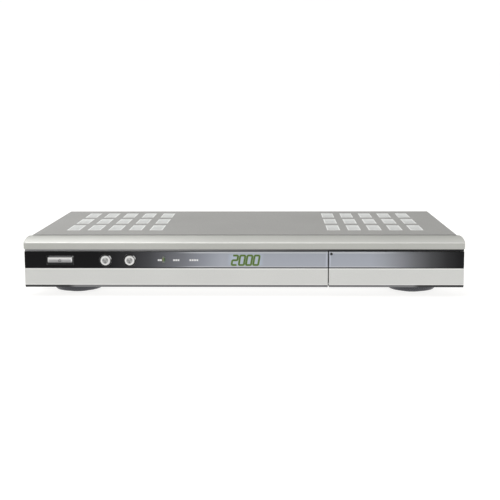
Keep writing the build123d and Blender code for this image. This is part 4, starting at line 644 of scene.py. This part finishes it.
round_keys = (("channel_down_button", -134.9), ("channel_up_button", -111.2))
for key, key_x in round_keys:
    turned_lacquer = surface(key + "_lacquer", *key_silver, (0.28, 0.36), grain=spray_grain, metallic=0.15)
    tree = turned_lacquer.node_tree
    centred = own_place(tree, (1, 0, 1), (-key_x * MM, 0, -button_z * MM))
    rings = node(tree, "ShaderNodeTexWave", {"Vector": centred, "Scale": 1100.0, "Distortion": 0.6},
                 wave_type="RINGS", rings_direction="Y").outputs["Fac"]
    flat = node(tree, "ShaderNodeMapping", {"Vector": centred, "Rotation": (math.pi / 2, 0, 0.6)}).outputs[0]
    sweep_angle = node(tree, "ShaderNodeTexGradient", {"Vector": flat}, gradient_type="RADIAL").outputs["Fac"]
    # A painted sheen: shades that change with the angle round the key's middle stand in for the bow-tie
    # highlight of a turned face.
    painted_sheen = shades(tree, sweep_angle, [
        (0.0, (0.40, 0.40, 0.40)), (0.14, (0.24, 0.24, 0.24)), (0.30, (0.52, 0.52, 0.51)),
        (0.52, (0.26, 0.26, 0.26)), (0.70, (0.48, 0.48, 0.47)), (0.85, (0.22, 0.22, 0.22)),
        (1.0, (0.40, 0.40, 0.40)),
    ], "EASE")
    overprint(turned_lacquer, (painted_sheen, around(tree, key_x, button_z, 2.6, 3.4)))
    connect(tree, tree.nodes["Principled BSDF"], {"Normal": relief(tree, rings, 0.02)})
    wear(turned_lacquer, key)

# A painted glint lies on the shoulder of each ring, and on the corner and along the top of the long key's
# frame
ring_gloss = surface("ring_gloss", (0.010, 0.010, 0.011), (0.014, 0.014, 0.015), (0.12, 0.18))
tree = ring_gloss.node_tree
for key, key_x in round_keys:
    overprint(ring_gloss, ((0.92, 0.92, 0.92), around(tree, key_x + 4.9, button_z + 3.2, 1.5, 2.4),
                           around(tree, key_x, button_z, 5.35, 5.6, within=False)))
overprint(
    ring_gloss,
    ((0.3, 0.3, 0.3), around(tree, standby_x + 12.6, button_z + 3.9, 0.5, 1.1)),
    ((0.26, 0.26, 0.27), *between("X", standby_x - 10.9, standby_x + 11.6, 1.0),
     ("Z", button_z + 3.75, button_z + 3.95)),
)
wear(ring_gloss, "button_rings")
wear(moulded_black, "standby_switch_stem", "channel_down_switch_stem", "channel_up_switch_stem",
     "switch_bodies", "infrared_receiver")

# ---- Top cover and its grilles ----
# One sheet of steel folded down at both sides, coated with a fine textured grey powder paint. Light
# moulded grilles lie under its two groups of windows, and a ribbed insert fills each window.
wear(surface("cover_paint", (0.261, 0.259, 0.248), (0.279, 0.277, 0.266), (0.5, 0.62), grain=1600.0,
             height=0.03, specular=0.25, rubbed=(0.34, 0.34, 0.33)), "top_cover")
grille_white = surface("grille_white", (0.745, 0.755, 0.745), (0.795, 0.805, 0.795), (0.45, 0.55))
wear(grille_white, "vent_grilles")

cover_inside, insert_height = 58.0, 0.95
insert = Growth("vent_insert", {
    "Width": 13.1, "Depth": 41.2, "Height": insert_height, "Rim": 1.0, "Rib": 2.6, "Rib Count": 8,
}, grille_white)
width, depth, height, rim, rib, rib_count = insert.given
inner_width = insert.sum(width, rim, -2.0)
free_depth = insert.sum(insert.sum(depth, rim, -2.0), rib, -1.0)
rib_line = insert.add("GeometryNodeMeshLine", {
    "Count": rib_count, "Start Location": insert.vector(Y=insert.part(free_depth, -0.5)),
    "Offset": insert.vector(Y=insert.part(free_depth, 0.5))}, mode="END_POINTS")
rib_bar = insert.bar(inner_width, rib, height)
insert.place(insert.joined([
    *(insert.moved(bar, **{axis: insert.part(insert.sum(reach, rim, -1.0), side)})
      for bar, axis, reach in ((insert.bar(rim, depth, height), "X", width),
                               (insert.bar(inner_width, rim, height), "Y", depth))
      for side in (-0.5, 0.5)),
    insert.add("GeometryNodeInstanceOnPoints", {"Points": rib_line, "Instance": rib_bar}),
]))
group_x, group_y, column_pitch, row_pitch = 132.65, 9.1, 21.1, 53.3
insert.grow("vent_inserts", [
    (side * group_x + column_pitch * column, group_y + row_pitch * row, cover_inside + insert_height / 2)
    for side in (-1, 1) for column in range(-2, 3) for row in (-1, 0, 1)
], "grille_plastic")

# ---- Feet ----
# Round moulded bowls of glossy black plastic, each held by a screw up its middle. A rubber pad is
# pressed into the foot of each.
# Their black is lifted to a bluish dark grey as a painted reflection of the bright floor.
wear(surface("foot_gloss", (0.050, 0.052, 0.061), (0.062, 0.064, 0.075), (0.22, 0.30)), "feet")
wear(surface("pad_rubber", (0.014, 0.014, 0.014), (0.022, 0.022, 0.022), (0.8, 0.9), height=0.05),
     "foot_pads")

# ---- Chassis ----
# Tray and rear panel are folded from hot-dip galvanised sheet, whose zinc shows its crystals.
galvanised, tree, shader = new_finish("galvanised", 0.38, 0.85)
crystals = node(tree, "ShaderNodeTexVoronoi", {"Vector": own_place(tree), "Scale": 230.0}).outputs["Color"]
connect(tree, shader, {
    "Base Color": shades(tree, crystals, [(0.3, (0.50, 0.51, 0.52)), (0.7, (0.56, 0.57, 0.58))]),
    "Roughness": spread(tree, crystals, 0.34, 0.42)})
wear(galvanised, "chassis_tray", "rear_panel")

# ---- Screws ----
# Zinc-plated pan heads with a cross recess hold the cover, the boards and the feet. Each is driven home
# at its own angle.
zinc = surface("zinc", (0.50, 0.50, 0.50), (0.60, 0.60, 0.59), (0.28, 0.4), grain=700.0, metallic=0.9)
screw = Growth("pan_screw", {
    "Head Radius": 2.8, "Head Height": 1.8, "Recess Width": 0.75, "Recess Length": 3.2, "Recess Depth": 1.1,
    "Shank Radius": 1.3, "Shank Length": 5.0}, zinc)
head_radius, head_height, recess_width, recess_length, recess_depth, shank_radius, shank_length = screw.given
blank = node(screw.tree, "GeometryNodeMeshCylinder", {
    "Vertices": 24, "Radius": head_radius, "Depth": screw.part(head_height, 0.5)})
head, crown = blank.outputs["Mesh"], blank.outputs["Top"]
for rise, narrowing in ((0.3, 0.88), (0.2, 0.7)):
    raised = node(screw.tree, "GeometryNodeExtrudeMesh", {
        "Mesh": head, "Selection": crown, "Offset Scale": screw.part(head_height, rise), "Individual": False})
    crown = raised.outputs["Top"]
    head = screw.add("GeometryNodeScaleElements", {
        "Geometry": raised.outputs["Mesh"], "Selection": crown, "Scale": narrowing})
head = screw.moved(head, Z=screw.part(head_height, 0.25))
recessed = screw.crossed(head, recess_width, recess_length, recess_depth, head_height)
shank = screw.moved(screw.drum(12, shank_radius, shank_length), Z=screw.part(shank_length, -0.5))
chance = screw.add("FunctionNodeRandomValue", {2: 0.0, 3: 1.5, "Seed": 7}, 1, data_type="FLOAT")
driven = screw.add("FunctionNodeAxisAngleToRotation", {"Axis": (0, 0, 1), "Angle": chance})
screw.place(screw.joined([recessed, shank]), screw.add("FunctionNodeRotateRotation", {
    "Rotation": screw.outward("Z"), "Rotate By": driven}, rotation_space="LOCAL"))

side_x, side_z, rear_y, rear_z = 209.5, 21.0, 103.0, 54.0
foot_hollow, board_top, front_board_y, front_board_z = 4.4, 17.6, -100.3, 38.6
side_places = [(side * side_x, y, side_z) for side in (-1, 1) for y in (-62.0, 68.0)]
rear_places = [(x, rear_y, rear_z) for x in (-149.5, 0.0, 149.5)]
cover_ways = [(math.copysign(1, x), 0, 0) for x, _, _ in side_places] + [(0, 1, 0)] * len(rear_places)
foot_places = [(x, y, foot_hollow) for x in (-168.5, 168.5) for y in (-71.5, 73.0)]
board_places = [(x, y, board_top) for x in (-81.7, 103.5, 197.3) for y in (-89.0, 48.0)]
board_places += [(x, y, board_top) for x in (-197.3, -103.3) for y in (-41.0, 48.0)]
front_places = [(x, front_board_y, front_board_z) for x in (-159.5, -57.1, 26.2, 66.3)]
for name, places, ways, changed, stands_for in (
    ("cover_screw_set", side_places + rear_places, cover_ways, {}, ["cover_screws"]),
    ("foot_screw_set", foot_places, [(0, 0, -1)] * len(foot_places),
     {"Shank Radius": 1.6, "Shank Length": 8.6}, ["foot_screws"]),
    ("board_screw_set", board_places, [(0, 0, 1)] * len(board_places),
     {"Shank Length": 6.6}, ["board_screws"]),
    ("front_board_screw_set", front_places, [(0, 1, 0)] * len(front_places),
     {"Head Height": 0.9, "Recess Depth": 0.5, "Shank Radius": 1.2, "Shank Length": 7.3}, []),
):
    screw.grow(name, places, "screw_steel", ways, changed, stands_for)

# ---- Aerial sockets ----
# Two F sockets turned from brass and nickel plated, clamped in the rear panel by a nut. Each has a threaded
# nose with a white insulator and a sprung brass contact in its mouth.
nickel = surface("nickel", (0.60, 0.57, 0.51), (0.68, 0.65, 0.59), (0.16, 0.26), metallic=1.0)
brass = surface("brass", (0.60, 0.44, 0.18), (0.66, 0.50, 0.22), (0.2, 0.3), metallic=1.0)
header_nylon = surface("header_nylon", (0.66, 0.64, 0.57), (0.72, 0.70, 0.63), (0.45, 0.55))
wear(nickel, "connector_nuts")
aerial_z, nose_radius = 29.6, 4.45
aerial_places = [(151.97, aerial_z), (179.97, aerial_z)]
for name, material, slot, sides, stands_for, profile in (
    ("aerial_barrels", nickel, "nickel", 32, ["lnb_input", "lnb_loop_output"], [
        (5.2, 100.8), (5.2, 104.3), (5.0, 104.5), (nose_radius, 104.5), (nose_radius, 113.6), (4.1, 114.0),
        (3.6, 114.0), (3.4, 113.8), (3.4, 106.5)]),
    ("aerial_insulators", header_nylon, "header_white", 32, [], [
        (3.38, 106.5), (3.38, 112.4), (3.2, 112.6), (1.0, 112.6), (0.65, 112.2), (0.65, 107.0)]),
    ("aerial_contacts", brass, "brass_pins", 16, [], [
        (0.62, 106.9), (0.62, 111.7), (0.5, 111.9), (0.25, 111.6)]),
):
    pair = bmesh.new()
    for middle in aerial_places:
        turned(pair, middle, profile, sides=sides)
    keep(name, pair, material, stands_for=stands_for)

thread = Growth("aerial_thread", {"Radius": nose_radius, "Length": 8.1, "Ridge": 0.27}, nickel)
radius, length, ridge = thread.given
helix = thread.add("GeometryNodeCurveSpiral", {
    "Resolution": 28, "Rotations": 10.2, "Start Radius": radius, "End Radius": radius, "Height": length,
}, "Curve")
edge = thread.add("GeometryNodeCurvePrimitiveCircle", {"Resolution": 6, "Radius": ridge}, "Curve")
wound = thread.add("GeometryNodeCurveToMesh", {"Curve": helix, "Profile Curve": edge, "Fill Caps": True})
thread.place(thread.add("GeometryNodeTransform", {"Geometry": wound, "Rotation": (-math.pi / 2, 0, 0)}))
thread.grow("aerial_threads", [(x, 105.0, z) for x, z in aerial_places], "nickel")
tinplate = surface("tinplate", (0.58, 0.58, 0.57), (0.66, 0.66, 0.65), (0.26, 0.38), metallic=0.95)
wear(tinplate, "tuner_can")


# ---- SCART sockets ----
# Two moulded blocks with a D-shaped groove for the plug's shell. Twenty slots in two staggered rows run
# into each block, with a brass contact strip in every slot.
def prism(shape, outline, front_y, back_y):
    """Upright prism between two depths, from its outline in X and Z, in millimetres."""
    front, back = ([shape.verts.new((x * MM, y * MM, z * MM)) for x, z in outline] for y in (front_y, back_y))
    shape.faces.new(front)
    shape.faces.new(back[::-1])
    for corner in range(len(outline)):
        after = (corner + 1) % len(outline)
        shape.faces.new((front[corner], back[corner], back[after], front[after]))


def tapered(x, z, foot_half, top_half, height_half):
    """Upright outline that may be narrower at its foot."""
    return [(x - foot_half, z - height_half), (x + foot_half, z - height_half),
            (x + top_half, z + height_half), (x - top_half, z + height_half)]


def carve(name, solid, cutters, material):
    """Merged copy of a rigid piece with pockets cut into it, which stands for that piece."""
    merged, blanks = bmesh.new(), []
    merged.from_mesh(piece[solid].data)
    bmesh.ops.remove_doubles(merged, verts=merged.verts, dist=0.001 * MM)
    bmesh.ops.recalc_face_normals(cutters, faces=cutters.faces)
    for part, shape in (("_blank", merged), ("_cutters", cutters)):
        mesh = bpy.data.meshes.new(name + part)
        shape.to_mesh(mesh)
        shape.free()
        blanks.append(bpy.data.objects.new(name + part, mesh))
        scene.collection.objects.link(blanks[-1])
    cut = blanks[0].modifiers.new("cut", "BOOLEAN")
    cut.operation, cut.solver, cut.object = "DIFFERENCE", "EXACT", blanks[1]
    carved = plain_mesh(name, blanks[0])
    bpy.data.objects.remove(blanks[1])
    carved.materials.clear()
    finish_mesh(name, carved, material, stands_for=[solid])


socket_z, socket_face = 28.6, 103.5
slot_pitch, slot_shift, slot_row = 3.7, 0.95, 2.2
contact_places = []
for solid, socket_x in (("scart_tv", 105.13), ("scart_recorder", 47.8)):
    slots = bmesh.new()
    for side in (1, -1):
        for number in range(10):
            x, z = socket_x + (number - 4.5) * slot_pitch + side * slot_shift, socket_z + side * slot_row
            prism(slots, tapered(x, z, 0.55, 0.55, 1.3), socket_face - 7.0, socket_face)
            contact_places.append((x, socket_face - 4.3, z))
    carve(solid + "_block", solid, slots, moulded_black)
contact = bar_growth("contact_strip", 0.5, 5.0, 2.0, brass)
contact.grow("scart_contacts", contact_places, "brass_pins")

# ---- Phono sockets ----
# Four nickelled sleeves over a moulded block, each with a coloured ring in its mouth: yellow for picture,
# white and red for sound, orange for digital sound.
wear(nickel, "rca_sleeves")
wear(moulded_black, "rca_block")
for colour_name, phono_x, dark, light in (
    ("orange", -33.03, (0.60, 0.16, 0.02), (0.68, 0.19, 0.03)),
    ("red", -19.03, (0.42, 0.02, 0.02), (0.50, 0.03, 0.03)),
    ("white", -5.03, (0.72, 0.72, 0.70), (0.80, 0.80, 0.78)),
    ("yellow", 8.97, (0.68, 0.48, 0.03), (0.76, 0.54, 0.04)),
):
    ring = bmesh.new()
    turned(ring, (phono_x, socket_z), [
        (3.24, 110.3), (3.24, 110.62), (3.1, 110.75), (1.85, 110.75), (1.65, 110.6), (1.65, 110.3)], True)
    phono_colour = surface("phono_" + colour_name, dark, light, (0.4, 0.5))
    keep("phono_ring_" + colour_name, ring, phono_colour)

# ---- Serial port ----
# Nine-pole D-shaped shell pressed from tinned steel, round a black insulator with its sockets in two rows.
serial_x, serial_z = -62.87, 25.6
shell_foot, shell_top, shell_half = 7.02, 8.5, 4.2
pole_pitch, pole_row, pole_face = 2.77, 1.42, 107.5
mouth, insulator, pin_collars = bmesh.new(), bmesh.new(), bmesh.new()
for shape, inset, near, far in ((mouth, 0.55, 103.5, 109.0), (insulator, 0.65, 103.4, 107.6)):
    outline = tapered(serial_x, serial_z, shell_foot - inset, shell_top - inset, shell_half - inset)
    prism(shape, outline, near, far)
carve("serial_shell", "serial_port", mouth, tinplate)
keep("serial_insulator", insulator, moulded_black)
for count, side in ((5, 1), (4, -1)):
    for number in range(count):
        middle = (serial_x + (number - (count - 1) / 2) * pole_pitch, serial_z + side * pole_row)
        turned(pin_collars, middle, [
            (0.75, pole_face), (0.75, pole_face + 0.16), (0.5, pole_face + 0.16), (0.45, pole_face),
        ], True, 16)
keep("serial_contacts", pin_collars, brass)

# ---- Mains inlet and switch ----
# Moulded in black. The rocker is marked with a bar for on and a ring for off, filled with white ink.
wear(moulded_black, "mains_inlet", "mains_switch_body", "mains_rocker")
wear(brass, "mains_inlet_pins")
rocker_x, rocker_z, rocker_tilt = -148.3, 29.6, math.radians(12.0)
pivot_y, rocker_face = 99.6, 103.6
marks = bmesh.new()
for path, closed, lean in (
    (arc_path(rocker_x, rocker_z + 5.0, 1.5, 0, 360, 24)[:-1], True, -rocker_tilt),
    ([Vector((rocker_x, rocker_z - 3.6)), Vector((rocker_x, rocker_z - 6.6))], False, rocker_tilt),
):
    before = set(marks.verts)
    stroke(marks, path, 0.25, rocker_face - 0.02, rocker_face + 0.03, closed)
    added = [vert for vert in marks.verts if vert not in before]
    face_middle = Vector((0, rocker_face * MM, rocker_z * MM))
    bmesh.ops.rotate(marks, cent=face_middle, matrix=Matrix.Rotation(lean, 3, "X"), verts=added)
pivot = Vector((0, pivot_y * MM, rocker_z * MM))
bmesh.ops.rotate(marks, cent=pivot, matrix=Matrix.Rotation(-rocker_tilt, 3, "X"), verts=marks.verts)
keep("rocker_marks", marks, white_ink, "mains_rocker")

# ---- Card slots ----
# A tinned cage with two decks. Two rows of brass pins stand out of the header at the back of each deck,
# and two moulded push rods work the ejectors.
wear(tinplate, "ci_cage")
wear(moulded_black, "ci_pin_headers", "ejector_guide")
wear(surface("ejector_nylon", (0.045, 0.045, 0.048), (0.06, 0.06, 0.064), (0.45, 0.55)),
     "eject_button_lower", "eject_button_upper")
header_x, header_y, pin_pitch = 136.8, -12.2, 1.27
contact.grow("card_pins", [
    (header_x + (column - 16.5) * pin_pitch, header_y, deck_z + side * pin_pitch / 2)
    for deck_z in (21.7, 28.9) for side in (-1, 1) for column in range(34)
], "brass_pins", changed={"Width": 0.45, "Depth": 6.0, "Height": 0.45})

# ---- Main board ----
# Glass fibre under green solder mask, with its tracks showing through. Black packages stand on tinned legs,
# and small resistors and capacitors fill the room between them.
solder_mask = surface("solder_mask", (0.012, 0.075, 0.03), (0.02, 0.11, 0.045), (0.3, 0.42), blotch=180.0)
tree = solder_mask.node_tree
for stretch in ((900, 14, 1), (14, 900, 1)):
    tracks = grains(tree, own_place(tree, stretch), 1.0, 0.0)
    overprint(solder_mask, ((0.035, 0.16, 0.06), spread(tree, tracks, 0.0, 0.8, 0.60, 0.62)))
wear(solder_mask, "main_board", "front_board")
wear(moulded_black, "board_chips")

leg = Growth("package_leg", {"Width": 0.5, "Reach": 1.4, "Thickness": 0.2, "Drop": 1.2}, tinplate)
width, reach, thickness, drop = leg.given
half_reach = leg.part(reach, 0.5)
leg.place(leg.joined([
    leg.moved(leg.bar(half_reach, width, thickness), X=leg.part(reach, 0.25), Z=drop),
    leg.moved(leg.bar(thickness, width, drop), X=half_reach, Z=leg.part(drop, 0.5)),
    leg.moved(leg.bar(half_reach, width, thickness), X=leg.part(reach, 0.75), Z=leg.part(thickness, 0.5)),
]), leg.outward("X"))
leg_pitch, leg_margin = 1.27, 0.8
leg_places, leg_ways = [], []
for middle_x, middle_y, width, depth, all_round in (
    (18.3, -8.0, 28.0, 28.0, True), (-19.7, 4.0, 11.0, 20.0, False), (-19.7, -20.0, 11.0, 20.0, False),
    (56.3, -20.0, 11.0, 20.0, False), (10.3, 38.0, 18.0, 12.0, True),
):
    for half, span, along_x in ((width / 2, depth, False), (depth / 2, width, True))[:2 if all_round else 1]:
        count = int((span - 2 * leg_margin) / leg_pitch)
        for side in (-1, 1):
            for number in range(count):
                slide = (number - (count - 1) / 2) * leg_pitch
                x, y = (slide, side * half) if along_x else (side * half, slide)
                leg_places.append((middle_x + x, middle_y + y, board_top))
                leg_ways.append((0, side, 0) if along_x else (side, 0, 0))
leg.grow("package_legs", leg_places, "tinned_steel", leg_ways)

# The room that larger parts take on the board: its least and greatest X, then Y
taken = [
    (0, 37, -26, 11), (-28, -11, -33, 17), (48, 65, -33, -7), (-1, 22, 29, 47), (-76, -5, -75, -61),
    (20, 72, -101, -80), (-86, -72, -28, -4), (105, 176, -101, 8), (134, 200, 50, 101), (78, 132, 66, 101),
    (20, 76, 66, 101), (-46, 22, 85, 101), (-82, -43, 85, 101), (-86, -77, -94, -84), (98, 109, 43, 53),
    (192, 203, 43, 53), (98, 109, -94, -84), (192, 203, -94, -84), (-86, -77, 43, 53),
]
grid, clearance, small_count = 2.54, 2, 150
scatter = random.Random(11)
small_places, small_ways = [], []
while len(small_places) < small_count:
    x, y = scatter.uniform(-84, 200), scatter.uniform(-91, 96)
    x, y = round(x / grid) * grid, round(y / grid) * grid
    free = all(not (x0 - clearance < x < x1 + clearance and y0 - clearance < y < y1 + clearance)
               for x0, x1, y0, y1 in taken)
    if free and (x, y, board_top) not in small_places:
        small_places.append((x, y, board_top))
        small_ways.append(scatter.choice([(1, 0, 0), (0, 1, 0)]))
ceramic, tree, shader = new_finish("ceramic", 0.45)
kinds = node(tree, "ShaderNodeTexVoronoi", {"Vector": own_place(tree), "Scale": 260.0}).outputs["Color"]
connect(tree, shader, {
    "Base Color": shades(tree, kinds, [(0.45, (0.02, 0.02, 0.022)), (0.5, (0.34, 0.22, 0.12))])})
for name, material, slot, swell, lumps in (
    ("small_part_bodies", ceramic, "black_plastic", 1.0, [(1.0, 0.0)]),
    ("small_part_ends", tinplate, "tinned_steel", 1.06, [(0.2, -0.41), (0.2, 0.41)]),
):
    chip = Growth(name, {"Length": 2.0, "Width": 1.25, "Height": 0.55}, material)
    length, width, height = chip.given
    chip.place(chip.joined([
        chip.moved(chip.bar(chip.part(length, share), chip.part(width, swell), chip.part(height, swell)),
                   X=chip.part(length, shift), Z=chip.part(height, 0.5))
        for share, shift in lumps
    ]), chip.outward("X"))
    chip.grow(name, small_places, slot, small_ways)

# ---- Power supply ----
# Phenolic board with its heatsink, a ferrite transformer wound under yellow tape, a mains filter of enamelled
# wire, a glass fuse in clips and the reservoir capacitor.
wear(surface("phenolic", (0.20, 0.12, 0.05), (0.27, 0.17, 0.08), (0.5, 0.6), blotch=60.0), "psu_board")
aluminium = surface("aluminium", (0.60, 0.61, 0.62), (0.68, 0.69, 0.70), (0.3, 0.42), metallic=1.0,
                    stretch=(1, 1, 12))
wear(aluminium, "psu_heatsink", "processor_heatsink")
ferrite = surface("ferrite", (0.03, 0.03, 0.032), (0.05, 0.05, 0.052), (0.6, 0.7))
fuse_tube = surface("fuse_tube", (0.55, 0.58, 0.58), (0.7, 0.72, 0.72), (0.1, 0.2))
core_y, core_foot, fuse_y = -6.0, 22.5, 54.0
for side in (-1, 1):
    overprint(ferrite, ((0.55, 0.40, 0.06), ("Z", core_foot, core_foot + 0.2),
                        ("Y", core_y + 8.1 * side, core_y + 8.3 * side)))
    overprint(fuse_tube, ((0.42, 0.41, 0.38), ("Y", fuse_y + 4.6 * side, fuse_y + 4.8 * side)))
wear(ferrite, "transformer")
wear(fuse_tube, "fuse")
enamel = surface("enamel", (0.30, 0.09, 0.03), (0.42, 0.14, 0.05), (0.25, 0.4), metallic=0.6,
                 stretch=(1, 30, 1))
overprint(enamel, ((0.02, 0.02, 0.021), ("Z", 21.7, 21.5)))
wear(enamel, "line_filter")
wear(surface("sleeve", (0.012, 0.02, 0.07), (0.018, 0.03, 0.1), (0.25, 0.35)),
     "primary_capacitor", "small_capacitors")

can_top = Growth("can_top", {
    "Radius": 4.0, "Thickness": 0.3, "Score Width": 0.35, "Score Depth": 0.15}, aluminium)
radius, thickness, score_width, score_depth = can_top.given
can_top.place(can_top.crossed(can_top.drum(32, radius, thickness), can_top.part(radius, 1.5), score_width,
                              score_depth, can_top.part(thickness, 0.5)))
for name, radius, top_z, places in (
    ("reservoir_top", 9.6, 49.6, [(-180.3, 26.0)]),
    ("output_tops", 4.3, 37.6, [(-115.3, y) for y in (42.0, 55.0, 68.0, 81.0)]),
    ("logic_tops", 3.4, 29.1, [(-70.7 + 15.0 * number, -68.0) for number in range(5)]),
):
    can_top.grow(name, [(x, y, top_z) for x, y in places], "heatsink_aluminium", changed={"Radius": radius})

# ---- Cables ----
# A flat grey ribbon to the front board and a flat lead between the boards, of cores that show through
# their vinyl. Both end in moulded nylon headers.
cable_vinyl = surface("cable_vinyl", (0.30, 0.30, 0.30), (0.38, 0.38, 0.38), (0.45, 0.55), stretch=(20, 1, 1))
tree = cable_vinyl.node_tree
cores = node(tree, "ShaderNodeTexWave", {"Vector": own_place(tree), "Scale": 124.0}, bands_direction="X")
overprint(cable_vinyl, ((0.16, 0.16, 0.16), spread(tree, cores.outputs["Fac"], 1.0, 0.0, 0.0, 0.35)))
wear(cable_vinyl, "ribbon_cable", "power_cable")
wear(header_nylon, "cable_headers")
